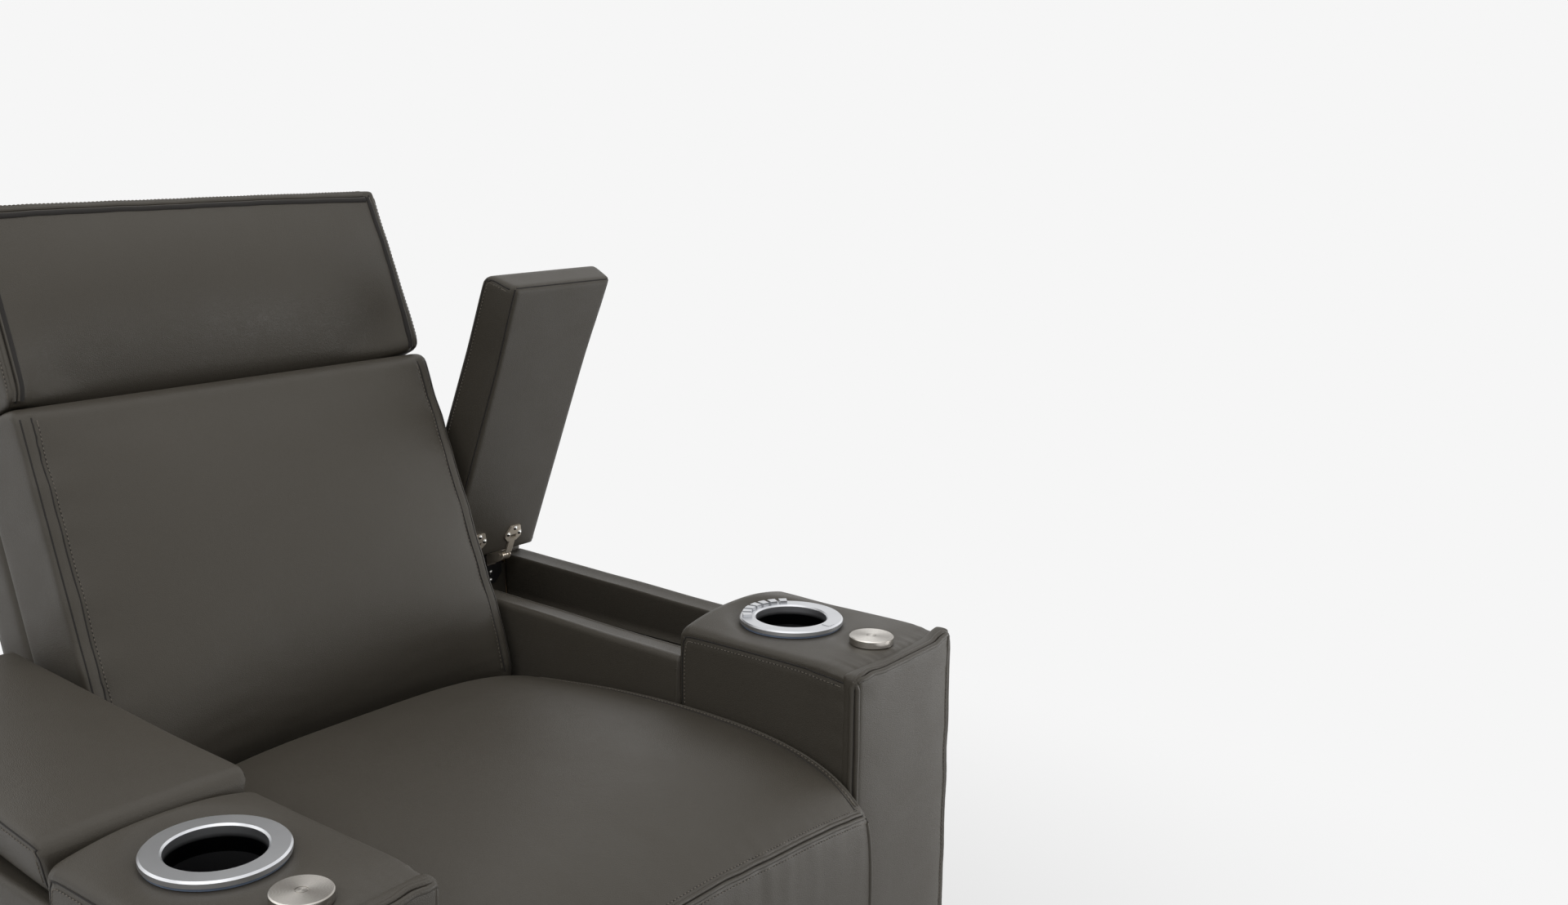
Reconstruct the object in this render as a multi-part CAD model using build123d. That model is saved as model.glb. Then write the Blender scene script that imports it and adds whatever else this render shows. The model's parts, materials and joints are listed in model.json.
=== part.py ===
from build123d import *
import math
import os

# Driving dimensions in millimetres. While the pieces are drawn, y runs back from the arms' front
# face, z runs up from the floor and the seat is centred on x = 0.

# Arms and seat space
SEAT_WIDTH = 566.0
ARM_WIDTH = 188.0
ARM_HEIGHT = 615.0
ARM_DEPTH = 770.0
FLOOR_GAP = 30.0
COVER = 14.0
BOARD = 16.0
WRAP = 4.0
FRONT_PAD = 28.0
FRONT_CROWN = 7.0
FRONT_LIP = 3.0
FRONT_ROUND = 5.0
BLOCK_LENGTH = 242.0
BIN_LENGTH = 437.0
LID_SINK = 34.0
WALL_RISE = 11.0
WALL_ROLL = 6.0
PAD_CROWN = 7.0
PAD_SWELL = 12.0
PAD_REAR_ROLL = 10.0
REAR_DROP = 10.0
LINING = 55.0
BIN_DEPTH = 126.0
BIN_WALL = 3.0
BIN_CORNER = 12.0
FIT = 0.4

# Cup holders, their keys and the accessory docks
CUP_BACK = 154.5
CUP_BORE = 40.0
RING_RADIUS = 58.0
RING_THICK = 5.5
RING_BEVEL = 1.6
LIGHT_THICK = 2.5
LIGHT_INSET = 1.5
SLEEVE_WALL = 3.5
SLEEVE_DEPTH = 15.0
WELL_DEPTH = 80.0
WELL_WALL = 2.5
KEY_COUNT = 7
KEY_PITCH = 14.5
KEY_ARC = 10.0
KEY_LENGTH = 10.0
KEY_RISE = 3.5
KEY_ROOT = 1.4
KEY_TRAVEL = 0.8
FLUSH_RISE = 0.5
DOCK_FRONT = 48.0
DOCK_BORE = 10.2
DOCK_WALL = 6.0
DOCK_DEPTH = 36.0
CAP_RADIUS = 24.0
CAP_THICK = 8.0
CAP_RIM = 1.0
CAP_MARK = 5.0
CAP_GROOVE = 0.6
SPIGOT_LENGTH = 30.0

# Arm lids and their hinges
LID_TIP = 48.0
LID_THICK = 57.0
LID_CROWN = 4.0
LID_GAP = 3.0
LID_CLEAR = 1.0
LID_SIDE = 2.0
LID_RIM = 8.0
LID_BOARD = 12.0
LID_STAND = 69.0
HINGE_SPREAD = 64.0
HINGE_AHEAD = 26.6
HINGE_BACK = 9.5
HINGE_RISE = 6.0
PIN_RADIUS = 2.5
EYE_RADIUS = 5.5
LEAF_THICK = 2.5
LEAF_WIDTH = 28.0
LEAF_TIP = 16.0
LEAF_LENGTH = 23.0
LEAF_WINDOW = 5.0
NECK_WIDTH = 10.5
NECK_LENGTH = 17.0
CHEEK_RADIUS = 7.0
CHEEK_PLAY = 0.4
BRACKET_SHEET = 1.6
BRACKET_DROP = 19.0
MOUNT_SHEET = 2.0
MOUNT_WIDTH = 104.0
MOUNT_DROP = 46.0
MOUNT_CORNER = 12.0
SCREW_RADIUS = 3.2
SCREW_HEAD = 2.0

# Seat
SEAT_LOW = 345.0
SEAT_CREST = 558.0
SEAT_NOSE = 550.0
SEAT_REAR_TOP = 545.0
WELT_HEIGHT = 496.0
SEAT_DEPTH = 484.0
SEAT_FRONT = 26.0
WELT_SET = 14.0
BORDER_SET = 10.0
NOSE_DEPTH = 112.0
NOSE_SWELL = 11.0
SEAT_SIDE = 4.0
SEAT_SHOULDER = 54.0
WELT_FALL = 19.0
CREST_FALL = 29.0
REAR_FALL = 38.0
APRON = 27.0
WEBBING = 2.7
WEB_WIDTH = 46.0
WEB_COUNT = 6
RAIL_BOARD = 40.0
SEAT_FRAME = 24.0

# Back and headrest
BACK_LEAN = 22.7
BACK_GAP = 21.0
BACK_SEAT = 512.0
BACK_HEIGHT = 405.0
BACK_SIDE = 14.0
BACK_PAD = 99.5
BACK_CROWN = 30.0
BACK_SKIRT = 20.0
BACK_SHOULDER = 60.0
BACK_BOARD = 16.0
BACK_SHELL = 172.0
SHELL_WALL = 10.0
SHELL_SKIRT = 40.0
POST_DEPTH = 42.0
POST_HEIGHT = 320.0
BACK_PIVOT_Y = 540.0
BACK_PIVOT_Z = 440.0
HEAD_LEAN = 24.0
HEAD_START = 642.0
HEAD_SEAT = 895.0
HEAD_HEIGHT = 212.0
HEAD_SIDE = 16.0
HEAD_PAD = 113.5
HEAD_CROWN = 24.0
HEAD_SHOULDER = 50.0
HEAD_BOARD = 16.0
HEAD_SHELL = 150.0
HEAD_AXIS_AHEAD = 12.0
HEAD_AXIS_BELOW = 8.0
HEAD_TILT = 25.0
ARC_THICK = 4.0
ARC_WIDTH = 24.0
ARC_SPREAD = 240.0
ARC_TAIL = 36.0
GUIDE_HEIGHT = 72.0

# Mechanism and footrest
ARM_BRACKET = 12.0
RAIL_WIDTH = 25.0
RAIL_HEIGHT = 40.0
RAIL_LOW = 60.0
RAIL_FRONT = 110.0
RAIL_REAR = 640.0
CROSS_TUBE = 30.0
PLATE = 6.0
PLATE_HOLE = 38.0
HOLE_SPACING = 120.0
HOLE_DROP = 100.0
LINK = 6.0
LINK_GAP = 2.0
LINK_HALF = 13.0
PIVOT_RADIUS = 8.0
RUNNING = 0.08
TUBE_RADIUS = 12.0
FOOT_PIVOT_Y = 150.0
FOOT_PIVOT_Z = 300.0
LINK_LENGTH = 240.0
FOOT_HOLD_Y = 92.0
FOOT_HOLD_Z = 190.0
FOOT_OPEN_Y = -300.0
FOOT_OPEN_Z = 385.0
FOOT_LOW = 62.0
FOOT_HIGH = 312.0
FOOT_SET = 16.0
FOOT_PAD = 68.0
FOOT_CROWN = 5.0
FOOT_SHOULDER = 45.0
FOOT_SIDE = 7.0
FOOT_BOARD = 16.0
CRANK_RADIUS = 70.0
CRANK_PIN = 6.0
YOKE_PLAY = 7.5
YOKE_NEAR = 4.0
ROD_RADIUS = 10.0
ROD_DROP = 28.0
CARRIAGE_BACK = 180.0
CARRIAGE_LENGTH = 40.0
MOTOR_LENGTH = 95.0
MOTOR_GAP = 4.0
MOTOR_HALF = 38.0
MOTOR_HEIGHT = 78.0
MOTOR_ROUND = 9.0
VENT_COUNT = 6
VENT_WIDTH = 4.0
VENT_DEPTH = 2.5
ROD_SPARE = 8.0
CARRIAGE_WALL = 8.0
YOKE_RIM = 7.0
YOKE_END = 2.0
TUBE_WALL = 2.0
REAR_PANEL = 15.0
REAR_PANEL_GAP = 2.0
REAR_PANEL_TOP = 382.0
GLIDE_RADIUS = 20.0
GLIDE_TAPER = 4.0
GLIDE_FRONT = 100.0
GLIDE_REAR = 640.0
INLET_RADIUS = 8.0
INLET_FLANGE = 12.0
INLET_RIM = 3.0
INLET_HOLE = 3.2
INLET_SIDE = 80.0
INLET_RISE = 60.0

# Positions that follow from the sizes above
ARM_IN = SEAT_WIDTH / 2
ARM_OUT = ARM_IN + ARM_WIDTH
ARM_MID = ARM_IN + ARM_WIDTH / 2
CAVITY = (ARM_IN + COVER + BOARD, ARM_OUT - COVER - BOARD)
WALL_TOP = ARM_HEIGHT - LID_SINK
BOARD_TOP = WALL_TOP - WRAP
BIN_REAR = BLOCK_LENGTH + BIN_LENGTH
BIN_RIM = WALL_TOP - LINING
BIN_FLOOR = BIN_RIM - BIN_DEPTH
COVER_REAR = ARM_DEPTH - COVER
RING_LOW = ARM_HEIGHT + LIGHT_THICK
RING_TOP = RING_LOW + RING_THICK
KEY_MIDDLE = (CUP_BORE + SLEEVE_WALL + RING_RADIUS) / 2 - 1.0
WALL_REAR_TOP = WALL_TOP + WALL_RISE
WALL_SLOPE = math.degrees(math.atan2(WALL_RISE, BIN_LENGTH))
LID_OPEN = LID_STAND + WALL_SLOPE
LID_FRONT = BLOCK_LENGTH + LID_GAP
HINGE_Y = BIN_REAR - HINGE_AHEAD
LID_REAR = HINGE_Y - HINGE_BACK
LID_LENGTH = LID_REAR - LID_FRONT
LID_LOW = WALL_TOP + LID_CLEAR + WALL_RISE * (HINGE_Y - BLOCK_LENGTH) / BIN_LENGTH
HINGE_Z = LID_LOW + HINGE_RISE
HINGE_PLACES = (ARM_MID - HINGE_SPREAD / 2, ARM_MID + HINGE_SPREAD / 2)
LEAF_LOW = LID_LOW - LEAF_THICK
LEAF_REAR = LID_REAR - NECK_LENGTH
MOUNT_FACE = BIN_REAR - MOUNT_SHEET
FRAME_TOP = SEAT_LOW - WEBBING
FRAME_LOW = FRAME_TOP - SEAT_FRAME
SEAT_REAR = SEAT_DEPTH - SEAT_FRONT
BACK_START = SEAT_REAR + BACK_GAP
RAIL_OUT = ARM_IN - ARM_BRACKET
RAIL_IN = RAIL_OUT - RAIL_WIDTH
PLATE_IN = RAIL_IN - PLATE
DRIVE_OUT = PLATE_IN - 2 * LINK_GAP
DRIVE_IN = DRIVE_OUT - LINK
LIFT_OUT = DRIVE_IN - LINK_GAP
LIFT_IN = LIFT_OUT - LINK
HOLD_OUT = LIFT_IN - LINK_GAP
HOLD_IN = HOLD_OUT - LINK
FOOT_PIVOT = (FOOT_PIVOT_Y, FOOT_PIVOT_Z)
FOOT_HOLD = (FOOT_HOLD_Y, FOOT_HOLD_Z)
FOOT_OPEN = (FOOT_OPEN_Y, FOOT_OPEN_Z)
BACK_PIVOT = (BACK_PIVOT_Y, BACK_PIVOT_Z)
ROD_Z = FRAME_LOW - ROD_DROP


def elbow(start, end, length, side):
    """Knee of two equal links between start and end, on the given side of the line."""
    reach = math.dist(start, end)
    rise = math.sqrt(length**2 - reach**2 / 4)
    along = ((end[0] - start[0]) / reach, (end[1] - start[1]) / reach)
    middle = ((start[0] + end[0]) / 2, (start[1] + end[1]) / 2)
    return (middle[0] - side * along[1] * rise, middle[1] + side * along[0] * rise)


def forward_angle(start, end):
    """Angle of a link above the forward direction, in degrees."""
    return math.degrees(math.atan2(end[1] - start[1], start[0] - end[0]))


# The footrest's two links on each side, folded and open
KNEE = elbow(FOOT_PIVOT, FOOT_HOLD, LINK_LENGTH, 1)
KNEE_OPEN = elbow(FOOT_PIVOT, FOOT_OPEN, LINK_LENGTH, 1)
DRIVE_TURN = forward_angle(FOOT_PIVOT, KNEE_OPEN) - forward_angle(FOOT_PIVOT, KNEE)
CRANK_START = -90.0 - DRIVE_TURN / 2
CRANK_END = CRANK_START + DRIVE_TURN


def crank_point(angle):
    """Crank pin's place when the crank stands at this angle above forward."""
    turn = math.radians(angle)
    return (FOOT_PIVOT_Y - CRANK_RADIUS * math.cos(turn), FOOT_PIVOT_Z + CRANK_RADIUS * math.sin(turn))


CRANK_REST = crank_point(CRANK_START)
CARRIAGE_TRAVEL = CRANK_REST[0] - crank_point(CRANK_END)[0]


# Shapes used by several pieces

def block(x, y, z):
    """Box between low and high values on each axis."""
    low = (x[0], y[0], z[0])
    size = (x[1] - x[0], y[1] - y[0], z[1] - z[0])
    return Pos(*low) * Box(*size, align=(Align.MIN, Align.MIN, Align.MIN))


def side_face(outline):
    """Face in the y-z plane from corner points."""
    return Plane.YZ * make_face(Polyline(*outline, close=True))


def across(face, x):
    """Side face extruded from x[0] to x[1]."""
    return Pos(x[0], 0, 0) * extrude(face, x[1] - x[0], dir=(1, 0, 0))


def rod_across(place, radius, x):
    """Round bar along x through a (y, z) place."""
    face = Plane.YZ * Pos(*place) * Circle(radius)
    return across(face, x)


def bar_face(start, end, half_width):
    """Round-ended link outline between two (y, z) places."""
    middle = ((start[0] + end[0]) / 2, (start[1] + end[1]) / 2)
    turn = math.degrees(math.atan2(end[1] - start[1], end[0] - start[0]))
    slot = SlotCenterToCenter(math.dist(start, end), 2 * half_width)
    return Plane.YZ * Pos(*middle) * Rot(0, 0, turn) * slot


def upright(place, radius, z):
    """Round bar along z at an (x, y) place."""
    return Pos(*place, z[0]) * extrude(Circle(radius), z[1] - z[0])


def both_sides(shape):
    """The shape and its mirror image across the middle of the chair."""
    return [shape, mirror(shape, about=Plane.YZ)]


def turned(shape, place, degrees):
    """Shape turned about an axis along x through a (y, z) place."""
    return Pos(0, *place) * Rot(degrees, 0, 0) * Pos(0, -place[0], -place[1]) * shape


def padding(half_width, shoulder, section):
    """Crowned pad: side sections lofted across x, drawn in towards both sides."""
    stations = [(-half_width, 0.0), (shoulder - half_width, 0.8), (0.0, 1.0)]
    stations += [(half_width - shoulder, 0.8), (half_width, 0.0)]
    return loft([Plane.YZ.offset(x) * section(fullness) for x, fullness in stations])


def standing_section(depth, low, high, crown, setback, inset):
    """Side section of an upright cushion, front towards -y, as a function of its fullness."""

    def section(fullness):
        slack = 1.0 - fullness
        front = setback * slack
        top = high - inset * slack
        bottom = low + inset * slack
        swell = 2.0 + crown * fullness
        middle = (depth + front) / 2
        edges = [Line((depth, bottom), (depth, top))]
        edges.append(ThreePointArc((depth, top), (middle, top + 2.0), (front, top)))
        edges.append(ThreePointArc((front, top), (front - swell, (top + bottom) / 2), (front, bottom)))
        edges.append(ThreePointArc((front, bottom), (middle, bottom - 2.0), (depth, bottom)))
        return make_face(edges)

    return section


# Arms: right-hand pieces, mirrored for the left

def arm_frame():
    """Plywood boards of one arm: two sides, front, floor, divider and the bin's shelf."""
    length = (FRONT_PAD, COVER_REAR)
    height = (FLOOR_GAP, BOARD_TOP)
    floor_top = FLOOR_GAP + BOARD
    boards = [block((ARM_IN + COVER, CAVITY[0]), length, height)]
    boards.append(block((CAVITY[1], ARM_OUT - COVER), length, height))
    boards.append(block(CAVITY, (FRONT_PAD, FRONT_PAD + BOARD), height))
    boards.append(block(CAVITY, (FRONT_PAD + BOARD, BIN_REAR), (FLOOR_GAP, floor_top)))
    boards.append(block(CAVITY, (BLOCK_LENGTH - BOARD, BLOCK_LENGTH), (floor_top, BOARD_TOP)))
    boards.append(block(CAVITY, (BLOCK_LENGTH, BIN_REAR), (BIN_FLOOR - BOARD, BIN_FLOOR)))
    return boards


def inner_cover():
    """Padded leather on the seat side, rolled over the wall's rising top edge beside the bin."""
    lip = CAVITY[0] + WRAP
    wrap = Polyline(
        (ARM_IN, FLOOR_GAP), (ARM_IN, WALL_REAR_TOP), (lip, WALL_REAR_TOP), (lip, BIN_RIM),
        (CAVITY[0], BIN_RIM), (CAVITY[0], BOARD_TOP), (ARM_IN + COVER, BOARD_TOP),
        (ARM_IN + COVER, FLOOR_GAP), close=True)
    wall = Pos(0, BIN_REAR, 0) * extrude(Plane.XZ * make_face(wrap), BIN_LENGTH, dir=(0, -1, 0))
    spare = WALL_REAR_TOP + COVER
    above = [(BLOCK_LENGTH, WALL_TOP), (BIN_REAR, WALL_REAR_TOP), (BIN_REAR, spare), (BLOCK_LENGTH, spare)]
    wall -= across(side_face(above), (ARM_IN, lip))
    ridge = wall.faces().sort_by(Axis.Z)[-1].edges().sort_by(SortBy.LENGTH)
    wall = fillet(ridge[-2:], WALL_ROLL)
    cheek = (ARM_IN, ARM_IN + COVER)
    front = block(cheek, (FRONT_PAD, BLOCK_LENGTH), (FLOOR_GAP, BOARD_TOP))
    rear = block(cheek, (BIN_REAR, COVER_REAR), (FLOOR_GAP, BOARD_TOP))
    return front + wall + rear


def outer_cover():
    """The same cover on the arm's outer side."""
    return Pos(2 * ARM_MID, 0, 0) * mirror(inner_cover(), about=Plane.YZ)


def front_panel():
    """Padded front of the arm, crowned across its width."""
    edges = [Line((ARM_IN, FRONT_PAD), (ARM_OUT, FRONT_PAD))]
    edges.append(Line((ARM_OUT, FRONT_PAD), (ARM_OUT, FRONT_CROWN)))
    edges.append(ThreePointArc((ARM_OUT, FRONT_CROWN), (ARM_MID, 0), (ARM_IN, FRONT_CROWN)))
    edges.append(Line((ARM_IN, FRONT_CROWN), (ARM_IN, FRONT_PAD)))
    height = ARM_HEIGHT - PAD_CROWN + FRONT_LIP - FLOOR_GAP
    panel = Pos(0, 0, FLOOR_GAP) * extrude(make_face(edges), height)
    return fillet(panel.edges().filter_by(Axis.Z).group_by(Axis.Y)[0], FRONT_ROUND)


def top_pad():
    """Pad over the front block: swollen behind the cup ring, and let in for the ring and the dock cap."""

    def section(edge, crown):
        edges = [Line((ARM_IN, BOARD_TOP), (ARM_OUT, BOARD_TOP)), Line((ARM_OUT, BOARD_TOP), (ARM_OUT, edge))]
        edges.append(ThreePointArc((ARM_OUT, edge), (ARM_MID, crown), (ARM_IN, edge)))
        edges.append(Line((ARM_IN, edge), (ARM_IN, BOARD_TOP)))
        return make_face(edges)

    edge = ARM_HEIGHT - PAD_CROWN
    crest = ARM_HEIGHT + PAD_SWELL
    stations = [(FRONT_PAD, edge, ARM_HEIGHT), (CUP_BACK, edge + PAD_CROWN / 2, ARM_HEIGHT + PAD_SWELL / 6)]
    stations.append((CUP_BACK + RING_RADIUS, edge + PAD_CROWN / 2, crest))
    stations.append((BLOCK_LENGTH, edge, crest - PAD_REAR_ROLL))
    pad = loft([Plane.XZ.offset(-y) * section(low, high) for y, low, high in stations])
    cup = (ARM_MID, CUP_BACK)
    dock = (ARM_MID, DOCK_FRONT)
    pad -= upright(cup, RING_RADIUS + FIT, (ARM_HEIGHT, crest + PAD_SWELL))
    pad -= upright(dock, CAP_RADIUS + FIT, (ARM_HEIGHT, crest + PAD_SWELL))
    pad -= upright(cup, CUP_BORE + SLEEVE_WALL + FIT, (BOARD_TOP, ARM_HEIGHT))
    return pad - upright(dock, DOCK_BORE + DOCK_WALL + FIT, (BOARD_TOP, ARM_HEIGHT))


def rear_block():
    """Post behind the storage bin, with a full-width cap and a cover over the arm's rear end."""
    top = ARM_HEIGHT - REAR_DROP
    post = block(CAVITY, (BIN_REAR, COVER_REAR), (FLOOR_GAP, BOARD_TOP))
    cap = block((ARM_IN, ARM_OUT), (BIN_REAR, COVER_REAR), (BOARD_TOP, top))
    end = block((ARM_IN, ARM_OUT), (COVER_REAR, ARM_DEPTH), (FLOOR_GAP, top))
    return post + cap + end


def storage_bin():
    """Moulded liner, open at the top, standing on the shelf between the two linings."""
    low = (CAVITY[0] + FIT, BLOCK_LENGTH + FIT)
    size = (CAVITY[1] - CAVITY[0] - 2 * FIT, BIN_LENGTH - 2 * FIT)
    middle = (low[0] + size[0] / 2, low[1] + size[1] / 2)
    outside = RectangleRounded(*size, BIN_CORNER)
    inside = RectangleRounded(size[0] - 2 * BIN_WALL, size[1] - 2 * BIN_WALL, BIN_CORNER - BIN_WALL)
    tray = extrude(outside, BIN_DEPTH - FIT) - Pos(0, 0, BIN_WALL) * extrude(inside, BIN_DEPTH)
    return Pos(*middle, BIN_FLOOR) * tray


# Cup holders, keys and docks

def sector(middle_angle, arc, length, grow):
    """Flat key outline on the ring, enlarged all round by grow."""
    low = KEY_MIDDLE - length / 2 - grow
    high = KEY_MIDDLE + length / 2 + grow
    half = math.radians(arc / 2) + grow / KEY_MIDDLE
    turn = math.radians(middle_angle)

    def at(radius, angle):
        return (radius * math.cos(turn + angle), radius * math.sin(turn + angle))

    edges = [ThreePointArc(at(high, -half), at(high, 0), at(high, half)), Line(at(high, half), at(low, half))]
    edges.append(ThreePointArc(at(low, half), at(low, 0), at(low, -half)))
    edges.append(Line(at(low, -half), at(high, -half)))
    return Pos(ARM_MID, CUP_BACK) * make_face(edges)


KEY_ANGLES = [90.0 + KEY_PITCH * (n - (KEY_COUNT - 1) / 2) for n in range(KEY_COUNT)]
FLUSH_ANGLE = 270.0
KEY_PLAY = 0.3


def cup_ring():
    """Turned ring with a bevelled flange and a sleeve that reaches into the arm."""
    sleeve = CUP_BORE + SLEEVE_WALL
    outline = Polyline(
        (CUP_BORE, ARM_HEIGHT - SLEEVE_DEPTH), (sleeve, ARM_HEIGHT - SLEEVE_DEPTH), (sleeve, RING_LOW),
        (RING_RADIUS, RING_LOW), (RING_RADIUS, RING_TOP - RING_BEVEL), (RING_RADIUS - RING_BEVEL, RING_TOP),
        (CUP_BORE + RING_BEVEL, RING_TOP), (CUP_BORE, RING_TOP - RING_BEVEL), close=True)
    return Pos(ARM_MID, CUP_BACK, 0) * revolve(Plane.XZ * make_face(outline), Axis.Z)


def keyed_ring():
    """The right arm's ring, with a pocket for each key."""
    ring = cup_ring()
    depth = KEY_ROOT + KEY_TRAVEL + KEY_PLAY
    for angle in KEY_ANGLES + [FLUSH_ANGLE]:
        pocket = extrude(sector(angle, KEY_ARC, KEY_LENGTH, KEY_PLAY), depth + 1)
        ring -= Pos(0, 0, RING_TOP - depth) * pocket
    return ring


def key(angle, rise):
    """One key standing in its pocket."""
    body = extrude(sector(angle, KEY_ARC, KEY_LENGTH, 0), KEY_ROOT + rise)
    return Pos(0, 0, RING_TOP - KEY_ROOT) * body


def light_ring():
    """Clear ring between the cup ring's flange and the leather."""
    outside = RING_RADIUS - LIGHT_INSET
    inside = CUP_BORE + SLEEVE_WALL + FIT
    hoop = extrude(Circle(outside) - Circle(inside), LIGHT_THICK)
    return Pos(ARM_MID, CUP_BACK, ARM_HEIGHT) * hoop


def cup_well():
    """Black cup that hangs from the ring's sleeve."""
    top = ARM_HEIGHT - SLEEVE_DEPTH
    cup = upright((ARM_MID, CUP_BACK), CUP_BORE + WELL_WALL, (top - WELL_DEPTH, top))
    return cup - upright((ARM_MID, CUP_BACK), CUP_BORE, (top - WELL_DEPTH + WELL_WALL, top + 1))


def dock_socket():
    """Socket tube for a tray or lamp, let into the top pad."""
    place = (ARM_MID, DOCK_FRONT)
    tube = upright(place, DOCK_BORE + DOCK_WALL, (ARM_HEIGHT - DOCK_DEPTH, ARM_HEIGHT))
    return tube - upright(place, DOCK_BORE, (ARM_HEIGHT - DOCK_DEPTH + BIN_WALL, ARM_HEIGHT + 1))


def dock_cap():
    """Turned cap with a ring cut in its face and a spigot that drops into the socket."""
    place = (ARM_MID, DOCK_FRONT)
    low = ARM_HEIGHT + FIT
    top = low + CAP_THICK
    disc = upright(place, CAP_RADIUS, (low, top))
    disc = chamfer(disc.edges().group_by(Axis.Z)[-1], CAP_RIM)
    cut = (top - CAP_GROOVE, top + CAP_GROOVE)
    disc -= upright(place, CAP_MARK, cut) - upright(place, CAP_MARK - CAP_GROOVE, cut)
    spigot = upright(place, DOCK_BORE - RUNNING, (low - SPIGOT_LENGTH, low))
    return disc + spigot


# Lids, drawn level

def lid_board():
    """Plywood board let into the lid's underside."""
    x = (ARM_IN + LID_SIDE + LID_RIM, ARM_OUT - LID_SIDE - LID_RIM)
    return block(x, (LID_FRONT + LID_RIM, LID_REAR - LID_RIM), (LID_LOW, LID_LOW + LID_BOARD))


def lid_pad():
    """Crowned leather pad wrapped round the board, thinner towards its tip."""
    low_x = ARM_IN + LID_SIDE
    high_x = ARM_OUT - LID_SIDE

    def section(y, fullness):
        slack = 1.0 - fullness
        inset = LID_CROWN * slack
        thick = LID_TIP + (LID_THICK - LID_TIP) * (y - LID_FRONT) / LID_LENGTH
        top = LID_LOW + thick - inset
        left = low_x + LID_SIDE + inset / 2
        right = high_x - LID_SIDE - inset / 2
        middle = (LID_LOW + top) / 2
        crown = top + 1.0 + LID_CROWN * fullness
        edges = [Line((left, LID_LOW), (right, LID_LOW))]
        edges.append(ThreePointArc((right, LID_LOW), (right + LID_SIDE, middle), (right, top)))
        edges.append(ThreePointArc((right, top), (ARM_MID, crown), (left, top)))
        edges.append(ThreePointArc((left, top), (left - LID_SIDE, middle), (left, LID_LOW)))
        return make_face(edges)

    shoulder = LID_LENGTH / 9
    stations = [(LID_REAR, 0.0), (LID_REAR - shoulder, 0.8), ((LID_FRONT + LID_REAR) / 2, 1.0)]
    stations += [(LID_FRONT + shoulder, 0.8), (LID_FRONT, 0.0)]
    pad = loft([Plane.XZ.offset(-y) * section(y, fullness) for y, fullness in stations])
    return pad - lid_board()


HINGE = (HINGE_Y, HINGE_Z)
CHEEK_IN = NECK_WIDTH / 2 + CHEEK_PLAY
CHEEK_OUT = CHEEK_IN + BRACKET_SHEET


def hinge_leaf(place):
    """Gooseneck leaf: a windowed plate with cut corners under the lid, a strap and an eye round the pin."""
    front = LEAF_REAR - LEAF_LENGTH
    tip = LEAF_TIP / 2
    wide = LEAF_WIDTH / 2
    cut = wide - tip
    corners = [(-tip, front), (tip, front), (wide, front + 2 * cut), (wide, LEAF_REAR - cut)]
    corners += [(tip, LEAF_REAR), (-tip, LEAF_REAR), (-wide, LEAF_REAR - cut), (-wide, front + 2 * cut)]
    plate = Pos(place, 0, LEAF_LOW) * extrude(make_face(Polyline(*corners, close=True)), LEAF_THICK)
    narrow = (place - NECK_WIDTH / 2, place + NECK_WIDTH / 2)
    plate -= block(narrow, (LEAF_REAR - 2 * LEAF_WINDOW, LEAF_REAR - LEAF_WINDOW), (LEAF_LOW, LID_LOW))
    bend = (LID_REAR + LEAF_THICK / 2, LEAF_LOW + LEAF_THICK / 2)
    strap = block(narrow, (LEAF_REAR, bend[0]), (LEAF_LOW, LID_LOW))
    strap += across(bar_face(bend, HINGE, LEAF_THICK / 2), narrow) + rod_across(HINGE, EYE_RADIUS, narrow)
    return plate + strap - rod_across(HINGE, PIN_RADIUS + RUNNING, narrow)


def dome_head():
    """Low domed screw head standing on z = 0: the top of a ball."""
    ball = (SCREW_RADIUS**2 + SCREW_HEAD**2) / (2 * SCREW_HEAD)
    return split(Pos(0, 0, SCREW_HEAD - ball) * Sphere(ball), bisect_by=Plane.XY, keep=Keep.TOP)


def leaf_screws(place):
    """Three dome-headed screws under one hinge leaf."""
    aside = LEAF_WIDTH / 2 - 1.2 * SCREW_RADIUS
    middle = LEAF_REAR - LEAF_LENGTH / 2
    front = LEAF_REAR - LEAF_LENGTH + SCREW_RADIUS
    spots = [(place - aside, middle), (place + aside, middle), (place, front)]
    return [Pos(*spot, LEAF_LOW) * Rot(180, 0, 0) * dome_head() for spot in spots]


def hinge_mount():
    """Black steel plate on the rear block that both brackets of one arm stand on."""
    sides = (ARM_MID - MOUNT_WIDTH / 2, ARM_MID + MOUNT_WIDTH / 2)
    plate = block(sides, (MOUNT_FACE, BIN_REAR), (HINGE_Z - MOUNT_DROP, HINGE_Z + CHEEK_RADIUS))
    return chamfer(plate.edges().filter_by(Axis.Y), MOUNT_CORNER)


def hinge_bracket(place):
    """Bent sheet bracket: a base on the mounting plate and two round-nosed cheeks that hold the pin."""
    high = HINGE_Z + CHEEK_RADIUS
    low = HINGE_Z - BRACKET_DROP
    sides = (place - CHEEK_OUT, place + CHEEK_OUT)
    base = block(sides, (MOUNT_FACE - BRACKET_SHEET, MOUNT_FACE), (low, high))
    outline = [(MOUNT_FACE, low), (MOUNT_FACE, high), (HINGE_Y, high), (HINGE_Y, HINGE_Z - CHEEK_RADIUS)]
    for cheek in ((place - CHEEK_OUT, place - CHEEK_IN), (place + CHEEK_IN, place + CHEEK_OUT)):
        base += across(side_face(outline), cheek) + rod_across(HINGE, CHEEK_RADIUS, cheek)
    return base - rod_across(HINGE, PIN_RADIUS, sides)


def hinge_pin(place):
    """Pin held by the bracket's cheeks."""
    reach = CHEEK_OUT + BRACKET_SHEET
    return rod_across(HINGE, PIN_RADIUS, (place - reach, place + reach))


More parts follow.
